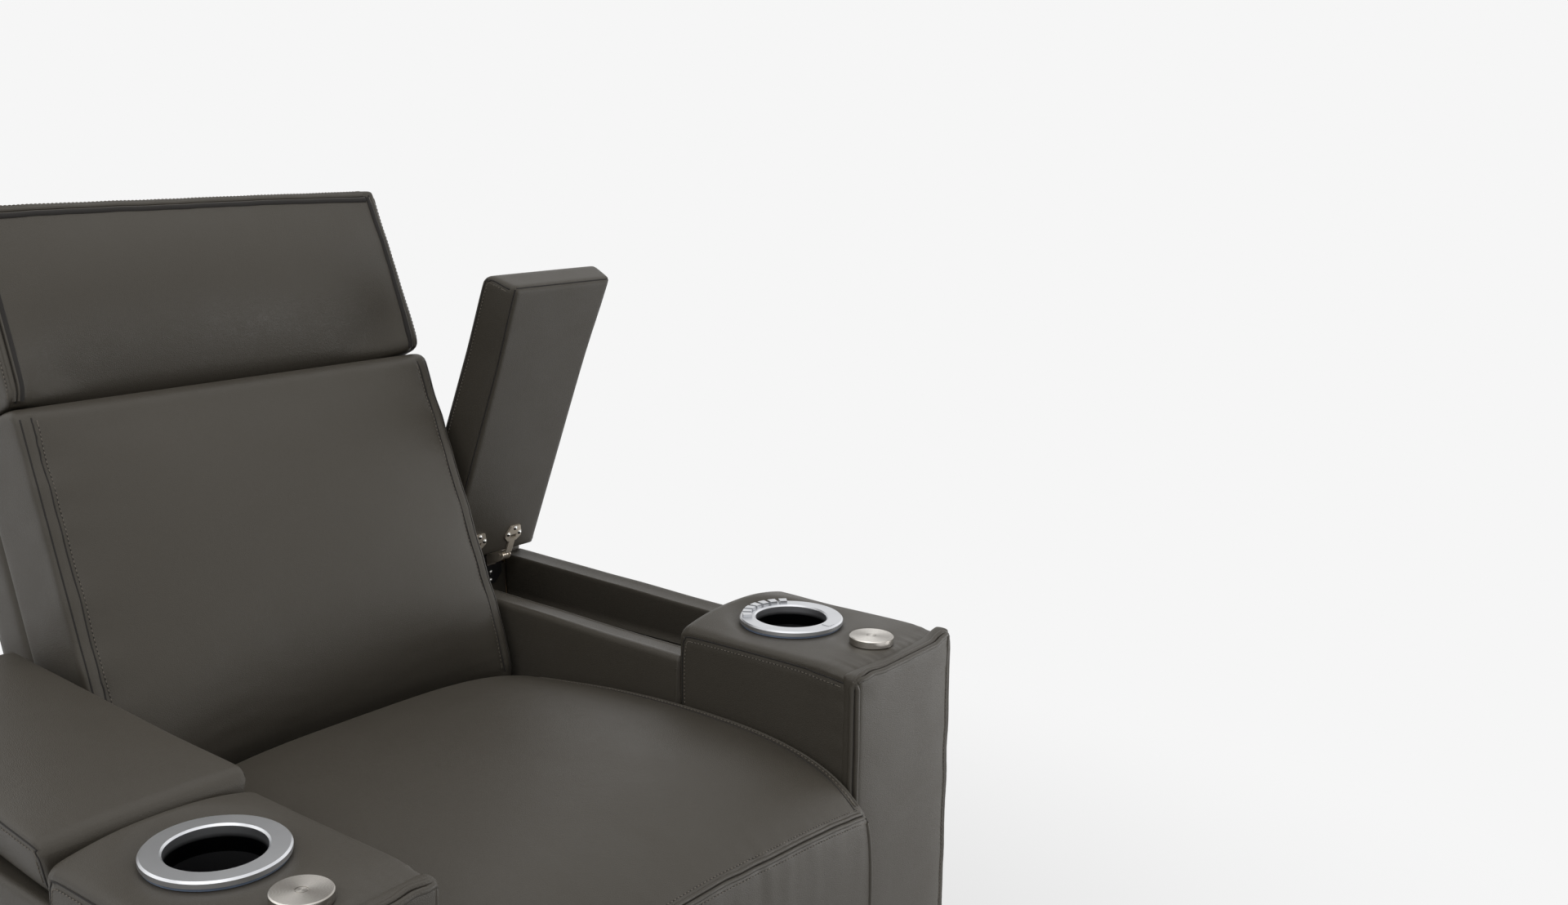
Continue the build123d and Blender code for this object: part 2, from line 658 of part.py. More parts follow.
def bracket_screws(place):
    """Two dome-headed screws through the mounting plate below one bracket."""
    heads = []
    for rise in (1.5, 5.0):
        spot = (place, MOUNT_FACE, HINGE_Z - MOUNT_DROP + rise * SCREW_RADIUS)
        heads.append(Pos(*spot) * Rot(90, 0, 0) * dome_head())
    return heads


def closed(shape):
    """A lid piece lowered onto the walls' rising tops."""
    return turned(shape, HINGE, WALL_SLOPE)


def opened(shape):
    """A lid piece swung up about its hinge pins."""
    return turned(closed(shape), HINGE, -LID_OPEN)


# Seat

def seat_frame():
    """Four boards under the seat cushion."""
    height = (FRAME_LOW, FRAME_TOP)
    inner = PLATE_IN - RAIL_BOARD
    front = block((-PLATE_IN, PLATE_IN), (0, RAIL_BOARD), height)
    back = block((-PLATE_IN, PLATE_IN), (SEAT_REAR - RAIL_BOARD, SEAT_REAR), height)
    side = block((inner, PLATE_IN), (RAIL_BOARD, SEAT_REAR - RAIL_BOARD), height)
    return [front, back] + both_sides(side)


def seat_webbing():
    """Elastic straps from the frame's front board to its rear board."""
    pitch = 2 * (PLATE_IN - RAIL_BOARD) / WEB_COUNT
    middles = [pitch * (n - (WEB_COUNT - 1) / 2) for n in range(WEB_COUNT)]
    half = WEB_WIDTH / 2
    return [block((x - half, x + half), (2, SEAT_REAR - 2), (FRAME_TOP, SEAT_LOW)) for x in middles]


def seat_cushion():
    """Crowned seat that rolls down to a sewn front edge, with a bulging border and an apron below it."""
    half = ARM_IN - SEAT_SIDE
    foot = (BORDER_SET - SEAT_FRONT, SEAT_LOW)

    def section(fullness):
        slack = 1.0 - fullness
        welt = (WELT_SET - SEAT_FRONT, WELT_HEIGHT - WELT_FALL * slack)
        nose = (welt[0] + NOSE_DEPTH, SEAT_NOSE - CREST_FALL * slack)
        crest = ((nose[0] + SEAT_REAR) / 2, SEAT_CREST - CREST_FALL * slack)
        back = (SEAT_REAR, SEAT_REAR_TOP - REAR_FALL * slack)
        roll = ((welt[0] + nose[0]) / 2, (welt[1] + nose[1]) / 2 + NOSE_SWELL)
        edges = [Line(foot, (SEAT_REAR, SEAT_LOW)), Line((SEAT_REAR, SEAT_LOW), back)]
        edges.append(ThreePointArc(back, crest, nose))
        edges.append(ThreePointArc(nose, roll, welt))
        edges.append(ThreePointArc(welt, (-SEAT_FRONT, (welt[1] + SEAT_LOW) / 2), foot))
        return make_face(edges)

    apron = block((-half, half), (foot[0], 0), (SEAT_LOW - APRON, SEAT_LOW + APRON))
    return padding(half, SEAT_SHOULDER, section) + apron


# Back, drawn upright in its own frame: y back from its front seam, z up along its lean

def on_back(shape):
    """Back piece moved from its own frame to its place and lean."""
    return Pos(0, BACK_START, BACK_SEAT) * Rot(-BACK_LEAN, 0, 0) * shape


def in_back(place):
    """A chair (y, z) place given in the back's own frame."""
    lean = math.radians(BACK_LEAN)
    rise = (place[0] - BACK_START, place[1] - BACK_SEAT)
    depth = rise[0] * math.cos(lean) - rise[1] * math.sin(lean)
    return (depth, rise[0] * math.sin(lean) + rise[1] * math.cos(lean))


BACK_HALF = ARM_IN - BACK_SIDE
HEAD_HALF = ARM_IN - HEAD_SIDE
BOARD_FRONT = BACK_PAD + 0.5
SHELL_TOP = BACK_HEIGHT - 3.0
POST_FRONT = BOARD_FRONT + 4.0
ARC_PLACES = (-ARC_SPREAD / 2, ARC_SPREAD / 2)
ARC_OUTER = HEAD_AXIS_AHEAD + HEAD_PAD + 0.5 + HEAD_BOARD
ARC_INNER = ARC_OUTER - ARC_THICK


def on_head(shape):
    """Headrest piece moved from its own frame to its place and lean."""
    return Pos(0, HEAD_START, HEAD_SEAT) * Rot(-HEAD_LEAN, 0, 0) * shape


def head_axis():
    """The headrest's tilt axis as a chair (y, z) place."""
    lean = math.radians(HEAD_LEAN)
    y = HEAD_START - HEAD_AXIS_AHEAD * math.cos(lean) - HEAD_AXIS_BELOW * math.sin(lean)
    z = HEAD_SEAT + HEAD_AXIS_AHEAD * math.sin(lean) - HEAD_AXIS_BELOW * math.cos(lean)
    return (y, z)


def arc_strap(place, start, end, grow):
    """Curved strap about the headrest's axis, between two angles below the horizontal."""
    low = ARC_INNER - grow
    high = ARC_OUTER + grow

    def at(radius, angle):
        turn = math.radians(angle)
        return (radius * math.cos(turn) - HEAD_AXIS_AHEAD, -radius * math.sin(turn) - HEAD_AXIS_BELOW)

    middle = (start + end) / 2
    edges = [ThreePointArc(at(high, start), at(high, middle), at(high, end))]
    edges.append(Line(at(high, end), at(low, end)))
    edges.append(ThreePointArc(at(low, end), at(low, middle), at(low, start)))
    edges.append(Line(at(low, start), at(high, start)))
    half = ARC_WIDTH / 2 + grow
    return across(Plane.YZ * make_face(edges), (place - half, place + half))


def back_frame():
    """Ply board, two steel posts with pivot eyes, and the headrest's two arc guides."""
    pivot = in_back(BACK_PIVOT)
    board_top = SHELL_TOP - SHELL_WALL - GUIDE_HEIGHT
    board = block((-DRIVE_IN, DRIVE_IN), (BOARD_FRONT, BOARD_FRONT + BACK_BOARD), (0, board_top))
    rear = POST_FRONT + POST_DEPTH
    eye = LINK_HALF + 5.0
    corners = [(pivot[0], pivot[1] - eye), (rear, pivot[1] - eye), (rear, POST_HEIGHT)]
    corners += [(POST_FRONT, POST_HEIGHT), (POST_FRONT, pivot[1] + eye), (pivot[0], pivot[1] + eye)]
    side = (DRIVE_IN, DRIVE_OUT)
    post = across(side_face(corners), side) + rod_across(pivot, eye, side)
    post -= rod_across(pivot, PIVOT_RADIUS + RUNNING, side)
    solids = [on_back(piece) for piece in [board] + both_sides(post)]
    slot_sweep = ARC_TAIL + HEAD_TILT
    for place in ARC_PLACES:
        sides = (place - ARC_WIDTH, place + ARC_WIDTH)
        height = (board_top, board_top + GUIDE_HEIGHT - 1)
        guide = block(sides, (BOARD_FRONT, POST_FRONT + POST_DEPTH), height)
        solids.append(on_back(guide) - on_head(arc_strap(place, -HEAD_TILT, slot_sweep, FIT)))
    return solids


def back_cushion():
    """Crowned back cushion between the seat and the headrest."""
    section = standing_section(BACK_PAD, -BACK_SKIRT, BACK_HEIGHT, BACK_CROWN, 22.0, 8.0)
    return on_back(padding(BACK_HALF, BACK_SHOULDER, section))


def back_shell():
    """Upholstered outside back: a rear panel with a top and two sides that cover the frame."""
    outer = BACK_HALF - 2.0
    inner = outer - SHELL_WALL
    front = BOARD_FRONT + 1.0
    low = -SHELL_SKIRT
    shell = block((-outer, outer), (front, BACK_SHELL), (low, SHELL_TOP))
    shell = fillet(shell.edges().filter_by(Axis.Z).group_by(Axis.Y)[-1], SHELL_WALL * 1.5)
    rear = BACK_SHELL - 2 * SHELL_WALL
    shell -= block((-inner, inner), (front - 1, rear), (low - 1, SHELL_TOP - SHELL_WALL))
    shell = on_back(shell)
    for place in ARC_PLACES:
        shell -= on_head(arc_strap(place, -HEAD_TILT, ARC_TAIL + HEAD_TILT, 2.0))
    return shell


def headrest_frame():
    """Headrest board with two curved steel straps that slide in the back's guides."""
    front = HEAD_PAD + 0.5
    board = block((15 - HEAD_HALF, HEAD_HALF - 15), (front, front + HEAD_BOARD), (10, HEAD_HEIGHT - 12))
    solids = [on_head(board)]
    for place in ARC_PLACES:
        strap = arc_strap(place, -11.0, ARC_TAIL, 0)
        solids[0] += on_head(strap)
    return solids


def headrest_cushion():
    """Crowned headrest pad with a sewn top edge."""
    section = standing_section(HEAD_PAD, 4.0, HEAD_HEIGHT, HEAD_CROWN, 18.0, 6.0)
    return on_head(padding(HEAD_HALF, HEAD_SHOULDER, section))


def headrest_shell():
    """Upholstered rear cover of the headrest."""
    outer = HEAD_HALF - 2.0
    front = HEAD_PAD + 1.0
    rear = HEAD_PAD + 0.5 + HEAD_BOARD
    shell = block((-outer, outer), (front, HEAD_SHELL), (6, HEAD_HEIGHT - 3))
    shell = fillet(shell.edges().filter_by(Axis.Z).group_by(Axis.Y)[-1], SHELL_WALL)
    shell -= block((15 - HEAD_HALF, HEAD_HALF - 15), (front - 1, rear), (10, HEAD_HEIGHT - 12))
    shell = on_head(shell)
    for place in ARC_PLACES:
        shell -= on_head(arc_strap(place, -14.0, ARC_TAIL, 1.0))
    return shell


# Steel base, drive and footrest

def inside(span):
    """A tube's outer span less its two walls."""
    return (span[0] + TUBE_WALL, span[1] - TUBE_WALL)


def base_frame():
    """Two floor rails, two cross tubes, arm brackets, side plates and the pins that carry every pivot."""
    height = (RAIL_LOW, RAIL_LOW + RAIL_HEIGHT)
    width = (RAIL_IN, RAIL_OUT)
    length = (RAIL_FRONT, RAIL_REAR)
    rail = block(width, length, height) - block(inside(width), length, inside(height))
    solids = both_sides(rail)
    middle = RAIL_LOW + RAIL_HEIGHT / 2
    tube_height = (middle - CROSS_TUBE / 2, middle + CROSS_TUBE / 2)
    reach = (-RAIL_IN, RAIL_IN)
    for rear in (KNEE[0] + 5 * CROSS_TUBE, RAIL_REAR):
        depth = (rear - CROSS_TUBE, rear)
        solids.append(block(reach, depth, tube_height) - block(reach, inside(depth), inside(tube_height)))
        bracket = block((RAIL_OUT, ARM_IN), (rear - 2 * CROSS_TUBE, rear), height)
        solids += both_sides(bracket)
    ear = PIVOT_RADIUS * 3
    corners = [(FOOT_PIVOT_Y - ear, RAIL_LOW), (KNEE[0] + 4 * CROSS_TUBE, RAIL_LOW)]
    corners += [(BACK_PIVOT_Y - ear, FOOT_PIVOT_Z), (SEAT_REAR, FRAME_TOP)]
    corners.append((FOOT_PIVOT_Y - ear, FRAME_TOP))
    side = (PLATE_IN, RAIL_IN)
    foot_of_ear = (BACK_PIVOT_Y - 3 * ear, FOOT_PIVOT_Z + ear / 2)
    plate = across(side_face(corners), side) + across(bar_face(foot_of_ear, BACK_PIVOT, ear), side)
    for count in (1, 2):
        hole = (FOOT_PIVOT_Y + count * HOLE_SPACING - ear, FOOT_PIVOT_Z - HOLE_DROP)
        plate -= rod_across(hole, PLATE_HOLE, side)
    for pivot in (FOOT_PIVOT, BACK_PIVOT):
        solids += both_sides(rod_across(pivot, PIVOT_RADIUS, (DRIVE_IN - LINK_GAP / 2, PLATE_IN)))
    return solids + both_sides(plate)


def drive_links():
    """Rear footrest links welded to a torque tube, with a crank and its pin in the middle."""
    side = (DRIVE_IN, DRIVE_OUT)
    link = across(bar_face(FOOT_PIVOT, KNEE, LINK_HALF), side)
    link -= rod_across(FOOT_PIVOT, PIVOT_RADIUS + RUNNING, side)
    link += rod_across(KNEE, PIVOT_RADIUS, (LIFT_IN - LINK_GAP / 2, DRIVE_IN))
    tube = rod_across(FOOT_PIVOT, TUBE_RADIUS, (-DRIVE_IN, DRIVE_IN))
    tube -= rod_across(FOOT_PIVOT, PIVOT_RADIUS + RUNNING, (-DRIVE_IN, DRIVE_IN))
    crank = across(bar_face(FOOT_PIVOT, CRANK_REST, CRANK_PIN * 1.6), (-LINK / 2, LINK / 2))
    crank -= rod_across(FOOT_PIVOT, TUBE_RADIUS, (-LINK, LINK))
    collar = rod_across(FOOT_PIVOT, TUBE_RADIUS + 3.0, (-LINK / 2, LINK / 2))
    collar -= rod_across(FOOT_PIVOT, TUBE_RADIUS, (-LINK, LINK))
    pin = rod_across(CRANK_REST, CRANK_PIN, (LINK / 2, LINK * 2.5))
    return both_sides(link) + [tube, crank + collar + pin]


def lift_links():
    """Front footrest links, from the knee pins to the footrest's brackets."""
    side = (LIFT_IN, LIFT_OUT)
    link = across(bar_face(KNEE, FOOT_HOLD, LINK_HALF), side)
    link -= rod_across(KNEE, PIVOT_RADIUS + RUNNING, side)
    link += rod_across(FOOT_HOLD, PIVOT_RADIUS, (HOLD_IN - LINK_GAP / 2, LIFT_IN))
    return both_sides(link)


def footrest_board():
    """Footrest board with the two brackets that hang on the front links."""
    front = FOOT_PAD + FOOT_SET - SEAT_FRONT
    rear = front + FOOT_BOARD
    half = ARM_IN - FOOT_SIDE * 3
    board = block((-half, half), (front, rear), (FOOT_LOW + 12, FOOT_HIGH - 12))
    side = (HOLD_IN, HOLD_OUT)
    bracket = across(side_face([
        (rear, FOOT_HOLD_Z - 4 * LINK_HALF), (rear, FOOT_HOLD_Z + 4 * LINK_HALF),
        (FOOT_HOLD_Y, FOOT_HOLD_Z + LINK_HALF), (FOOT_HOLD_Y, FOOT_HOLD_Z - LINK_HALF)]), side)
    bracket += rod_across(FOOT_HOLD, LINK_HALF, side)
    bracket -= rod_across(FOOT_HOLD, PIVOT_RADIUS + RUNNING, side)
    return [board] + both_sides(bracket)


def footrest_pad():
    """Crowned footrest pad below the seat's front border."""
    front = FOOT_CROWN + 2.0 + FOOT_SET - SEAT_FRONT
    depth = FOOT_PAD + FOOT_SET - SEAT_FRONT - front - 0.3
    section = standing_section(depth, FOOT_LOW, FOOT_HIGH, FOOT_CROWN, 12.0, 6.0)
    return Pos(0, front, 0) * padding(ARM_IN - FOOT_SIDE, FOOT_SHOULDER, section)


YOKE_X = (LINK / 2 + YOKE_NEAR, 1.5 * LINK + YOKE_NEAR)


def drive_motor():
    """Gear motor under the seat frame, vented at its sides, with the rod that guides its carriage."""
    front = CRANK_REST[0] + CARRIAGE_BACK + CARRIAGE_LENGTH / 2 + MOTOR_GAP
    rear = front + MOTOR_LENGTH
    low = FRAME_LOW - MOTOR_HEIGHT
    housing = block((-MOTOR_HALF, MOTOR_HALF), (front, rear), (low, FRAME_LOW))
    housing = fillet(housing.edges().filter_by(Axis.Y), MOTOR_ROUND)
    for vent in range(VENT_COUNT):
        middle = rear - (vent + 1) * 2 * VENT_WIDTH
        span = (middle - VENT_WIDTH / 2, middle + VENT_WIDTH / 2)
        height = (low + 2 * MOTOR_ROUND, FRAME_LOW - 2 * MOTOR_ROUND)
        slot = block((MOTOR_HALF - VENT_DEPTH, MOTOR_HALF), span, height)
        for side in both_sides(slot):
            housing -= side
    rod_front = CRANK_REST[0] + CARRIAGE_BACK - CARRIAGE_TRAVEL - CARRIAGE_LENGTH / 2 - ROD_SPARE
    rod = Plane.XZ * Pos(0, ROD_Z) * Circle(ROD_RADIUS)
    return housing + Pos(0, rod_front, 0) * extrude(rod, front - rod_front, dir=(0, 1, 0))


def drive_carriage():
    """Carriage that slides on the rod, with an arm whose long eye pushes the crank pin."""
    middle = CRANK_REST[0] + CARRIAGE_BACK
    half = CARRIAGE_LENGTH / 2
    wall = ROD_RADIUS + CARRIAGE_WALL
    carriage = block((-wall, wall), (middle - half, middle + half), (ROD_Z - wall, ROD_Z + wall))
    bore = Plane.XZ * Pos(0, ROD_Z) * Circle(ROD_RADIUS + FIT)
    carriage -= Pos(0, middle + half, 0) * extrude(bore, CARRIAGE_LENGTH, dir=(0, -1, 0))
    slack = CRANK_PIN + YOKE_PLAY
    low = FOOT_PIVOT_Z - CRANK_RADIUS - CRANK_PIN - YOKE_END
    high = CRANK_REST[1] + CRANK_PIN + YOKE_END
    window = block(YOKE_X, (CRANK_REST[0] - slack, CRANK_REST[0] + slack), (low, high))
    rim = YOKE_RIM
    eye = block(YOKE_X, (CRANK_REST[0] - slack - rim, CRANK_REST[0] + slack + rim), (low - rim, high + rim))
    push_height = (ROD_Z - wall - 10.0, ROD_Z - wall + 4.0)
    push = block(YOKE_X, (CRANK_REST[0] + slack + rim, middle - half), push_height)
    foot = block(YOKE_X, (middle - half, middle + half), (push_height[0], ROD_Z - wall))
    return carriage + push + foot + (eye - window)


def rear_panel():
    """Upholstered panel that closes the space between the arms behind the mechanism."""
    front = RAIL_REAR + REAR_PANEL_GAP
    panel = block((-ARM_IN, ARM_IN), (front, front + REAR_PANEL), (FLOOR_GAP, REAR_PANEL_TOP))
    return panel - inlet_barrel(INLET_RADIUS, 1.0)


def inlet_barrel(radius, longer):
    """Round bar through the rear panel at the power inlet."""
    front = RAIL_REAR + REAR_PANEL_GAP
    face = Plane.XZ * Pos(ARM_IN - INLET_SIDE, FLOOR_GAP + INLET_RISE) * Circle(radius)
    return Pos(0, front - longer, 0) * extrude(face, REAR_PANEL + 2 * longer, dir=(0, 1, 0))


def power_inlet():
    """Low-voltage inlet: a flanged barrel with a plug hole."""
    flange = Pos(0, REAR_PANEL, 0) * inlet_barrel(INLET_FLANGE, 0)
    flange -= Pos(0, REAR_PANEL + INLET_RIM, 0) * inlet_barrel(INLET_FLANGE + 1.0, 0)
    inlet = inlet_barrel(INLET_RADIUS, 0) + flange
    return inlet - Pos(0, REAR_PANEL / 2, 0) * inlet_barrel(INLET_HOLE, 0)


def floor_glides():
    """Four round glides under the arms."""
    glides = []
    for y in (GLIDE_FRONT, GLIDE_REAR):
        seat = (Align.CENTER, Align.CENTER, Align.MIN)
        cone = Cone(GLIDE_RADIUS, GLIDE_RADIUS - GLIDE_TAPER, FLOOR_GAP, align=seat)
        glides += both_sides(Pos(ARM_MID, y, 0) * cone)
    return glides


# Every node with its solids

def gathered(solids):
    """One compound of separate solids."""
    return Compound([solid for shape in solids for solid in shape.solids()])


def sided(name, right, left):
    """Right and left pieces under one name each."""
    return {f"{name}_right": right, f"{name}_left": mirror(left, about=Plane.YZ)}


def all_pieces():
    """Every node of the chair, by name."""
    hinge_leaves = gathered([hinge_leaf(place) for place in HINGE_PLACES])
    screws = gathered([screw for place in HINGE_PLACES for screw in leaf_screws(place)])
    pieces = {"base_frame": gathered(base_frame()), "floor_glides": gathered(floor_glides())}
    pieces |= {"rear_panel": rear_panel(), "power_inlet": power_inlet()}
    pieces |= {"drive_motor": drive_motor(), "drive_carriage": drive_carriage()}
    frame = gathered(arm_frame())
    pieces |= sided("arm_frame", frame, frame)
    for name, make in (
        ("arm_inner_cover", inner_cover), ("arm_outer_cover", outer_cover), ("arm_front_panel", front_panel),
        ("arm_top_pad", top_pad), ("arm_rear_block", rear_block), ("storage_bin", storage_bin),
        ("dock_cap", dock_cap),
    ):
        shape = make()
        pieces |= sided(name, shape, shape)
    pieces |= sided("cup_ring", keyed_ring(), cup_ring())
    pieces["cup_wells"] = gathered(both_sides(cup_well()))
    pieces["cup_light_rings"] = gathered(both_sides(light_ring()))
    pieces["dock_sockets"] = gathered(both_sides(dock_socket()))
    for number, angle in enumerate(reversed(KEY_ANGLES), start=1):
        pieces[f"control_key_{number}"] = key(angle, KEY_RISE)
    pieces["light_key"] = key(FLUSH_ANGLE, FLUSH_RISE)
    for name, shape in (
        ("lid_board", lid_board()), ("lid_pad", lid_pad()), ("lid_hinge_leaves", hinge_leaves),
        ("lid_leaf_screws", screws),
    ):
        pieces |= sided(name, opened(shape), closed(shape))
    pieces["hinge_mounts"] = gathered(both_sides(hinge_mount()))
    for name, make in (("lid_hinge_brackets", hinge_bracket), ("lid_hinge_pins", hinge_pin)):
        pieces[name] = gathered([solid for place in HINGE_PLACES for solid in both_sides(make(place))])
    heads = [head for place in HINGE_PLACES for head in bracket_screws(place)]
    pieces["hinge_bracket_screws"] = gathered([solid for head in heads for solid in both_sides(head)])
    pieces["seat_frame"] = gathered(seat_frame())
    pieces["seat_webbing"] = gathered(seat_webbing())
    pieces["seat_cushion"] = seat_cushion()
    pieces["back_frame"] = gathered(back_frame())
    pieces |= {"back_cushion": back_cushion(), "back_shell": back_shell()}
    pieces["headrest_frame"] = gathered(headrest_frame())
    pieces |= {"headrest_cushion": headrest_cushion(), "headrest_shell": headrest_shell()}
    pieces["footrest_drive_links"] = gathered(drive_links())
    pieces["footrest_lift_links"] = gathered(lift_links())
    pieces |= {"footrest_board": gathered(footrest_board()), "footrest_pad": footrest_pad()}
    return pieces


# The chair is moved so that its origin lies under the middle of its outline
PIECES = all_pieces()
OUTLINE = gathered(PIECES.values()).bounding_box()
SHIFT = -(OUTLINE.min.Y + OUTLINE.max.Y) / 2

os.makedirs("parts", exist_ok=True)
for piece_name, piece in PIECES.items():
    export_step(Pos(0, SHIFT, 0) * piece, f"parts/{piece_name}.step")
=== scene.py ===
"""Theater chair: leather, thread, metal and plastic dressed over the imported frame."""
import json
import math

import bmesh
import bpy
from mathutils import Matrix, Vector, noise
from mathutils.bvhtree import BVHTree
from mathutils.geometry import interpolate_bezier
from mathutils.kdtree import KDTree


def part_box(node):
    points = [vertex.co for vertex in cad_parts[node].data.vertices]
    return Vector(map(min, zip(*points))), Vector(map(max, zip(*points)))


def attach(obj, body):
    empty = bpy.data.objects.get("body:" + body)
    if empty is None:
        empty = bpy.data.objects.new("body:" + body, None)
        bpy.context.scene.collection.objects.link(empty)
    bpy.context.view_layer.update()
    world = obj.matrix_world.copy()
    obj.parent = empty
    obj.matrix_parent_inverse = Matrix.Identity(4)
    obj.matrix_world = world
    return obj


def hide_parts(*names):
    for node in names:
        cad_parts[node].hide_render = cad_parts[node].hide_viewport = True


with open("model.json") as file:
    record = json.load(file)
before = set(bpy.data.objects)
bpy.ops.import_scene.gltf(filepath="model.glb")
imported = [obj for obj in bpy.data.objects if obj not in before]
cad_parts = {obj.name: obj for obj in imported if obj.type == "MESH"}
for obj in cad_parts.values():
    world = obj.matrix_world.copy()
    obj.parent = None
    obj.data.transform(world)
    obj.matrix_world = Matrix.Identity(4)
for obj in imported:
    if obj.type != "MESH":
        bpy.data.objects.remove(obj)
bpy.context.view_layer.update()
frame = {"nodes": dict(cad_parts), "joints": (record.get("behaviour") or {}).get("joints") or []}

# Steel base, back and headrest frames, footrest links and hinge mounts: flat bar and tube, punched,
# welded and powder coated black. They carry the seat, the back, the footrest and the lids.


class Socket:
    """A node's output, with arithmetic that adds Math nodes to its finish."""

    def __init__(self, finish, output):
        self.finish = finish
        self.output = output

    def __add__(self, other):
        return self.finish.node("Math", {"operation": "ADD"}, {0: self, 1: other})

    __radd__ = __add__

    def __mul__(self, other):
        return self.finish.node("Math", {"operation": "MULTIPLY"}, {0: self, 1: other})

    __rmul__ = __mul__


class Finish:
    """A new material, or a given node tree, with one method that adds any node to it."""

    def __init__(self, name, tree=None):
        if tree is None:
            self.material = bpy.data.materials.new(name)
            self.material.use_nodes = True
            tree = self.material.node_tree
            tree.nodes.clear()
        self.tree = tree

    def node(self, kind, settings=None, sockets=None, output=0):
        made = self.tree.nodes.new("ShaderNode" + kind)
        for name, value in (settings or {}).items():
            setattr(made, name, value)
        for key, value in (sockets or {}).items():
            if isinstance(value, Socket):
                self.tree.links.new(value.output, made.inputs[key])
            else:
                made.inputs[key].default_value = value
        return Socket(self, made.outputs[output]) if made.outputs else None

    def place(self):
        return self.node("TexCoord", output="Object")

    def noise(self, place, scale, detail=2.0, output=0):
        sockets = {"Vector": place, "Scale": scale, "Detail": detail}
        return self.node("TexNoise", sockets=sockets, output=output)

    def mix(self, factor, first, second):
        return self.node("Mix", {"data_type": "RGBA"}, {0: factor, 6: first, 7: second}, output=2)

    def bump(self, height, strength, distance):
        sockets = {"Height": height, "Strength": strength, "Distance": distance}
        return self.node("Bump", sockets=sockets)

    def surface(self, **sockets):
        named = {key.replace("_", " "): value for key, value in sockets.items()}
        return self.shown(self.node("BsdfPrincipled", sockets=named))

    def shown(self, shader):
        self.node("OutputMaterial", sockets={"Surface": shader})
        return self.material


def coloured(red, green, blue):
    return (red, green, blue, 1.0)


def dress(material, *names):
    """Gives CAD nodes a finish."""
    for name in names:
        mesh = frame["nodes"][name].data
        mesh.materials.clear()
        mesh.materials.append(material)


def powder_coat():
    coat = Finish("black_powder_coat")
    place = coat.place()
    peel = coat.noise(place, 900.0)
    patch = coat.noise(place, 14.0)
    colour = coat.mix(patch, coloured(0.012, 0.012, 0.013), coloured(0.022, 0.022, 0.023))
    bump = coat.bump(peel, 0.25, 0.0004)
    return coat.surface(Base_Color=colour, Roughness=0.38 + 0.16 * peel, Normal=bump)


black_steel = powder_coat()
dress(black_steel, "base_frame", "back_frame", "headrest_frame", "hinge_mounts")
dress(black_steel, "footrest_drive_links", "footrest_lift_links")

# Glides, gear motor, carriage, power inlet, bins, cup wells and dock sockets: black moulded plastic
# with a fine spark-eroded texture.


def moulded_plastic():
    plastic = Finish("black_moulded_plastic")
    place = plastic.place()
    texture = plastic.noise(place, 1500.0, 1.0)
    cloud = plastic.noise(place, 30.0)
    colour = plastic.mix(cloud, coloured(0.006, 0.006, 0.007), coloured(0.012, 0.012, 0.013))
    bump = plastic.bump(texture, 0.3, 0.0003)
    return plastic.surface(Base_Color=colour, Roughness=0.42 + 0.2 * texture, Normal=bump)


black_plastic = moulded_plastic()
dress(black_plastic, "floor_glides", "drive_motor", "drive_carriage", "power_inlet")
dress(black_plastic, "cup_wells", "dock_sockets", "storage_bin_right", "storage_bin_left")

# Arm, seat, lid and footrest frames: birch plywood, with the veneers showing as bands at cut edges.
# The boards are glued and stapled together before the foam goes on.


def birch_ply():
    ply = Finish("birch_plywood")
    place = ply.place()
    long = ply.node("Mapping", sockets={"Vector": place, "Scale": (60.0, 6.0, 60.0)})
    grain = ply.noise(long, 1.0, 5.0)
    bands = {"Vector": place, "Scale": 55.0, "Distortion": 0.6}
    layer = ply.node("TexWave", {"bands_direction": "Z"}, bands)
    wood = ply.mix(grain, coloured(0.46, 0.31, 0.17), coloured(0.62, 0.46, 0.29))
    colour = ply.mix(layer * 0.25, wood, coloured(0.3, 0.19, 0.1))
    bump = ply.bump(grain, 0.2, 0.0006)
    return ply.surface(Base_Color=colour, Roughness=0.55 + 0.2 * grain, Normal=bump)


dress(birch_ply(), "arm_frame_right", "arm_frame_left", "seat_frame", "footrest_board")

# Seat webbing: black elastic straps woven across their length, stapled to the seat frame.
# They carry the seat cushion.


def elastic_webbing():
    webbing = Finish("black_webbing")
    place = webbing.place()
    weave = webbing.node("TexWave", {"bands_direction": "Y"}, {"Vector": place, "Scale": 320.0})
    colour = webbing.mix(weave, coloured(0.01, 0.01, 0.01), coloured(0.03, 0.03, 0.032))
    return webbing.surface(Base_Color=colour, Roughness=0.8, Normal=webbing.bump(weave, 0.5, 0.0006))


dress(elastic_webbing(), "seat_webbing")

# Arm blocks: the front part of each arm, a plywood box padded with foam. One leather panel runs over
# its top and down into the bin. A side panel is sewn in below it, with one row of stitches.


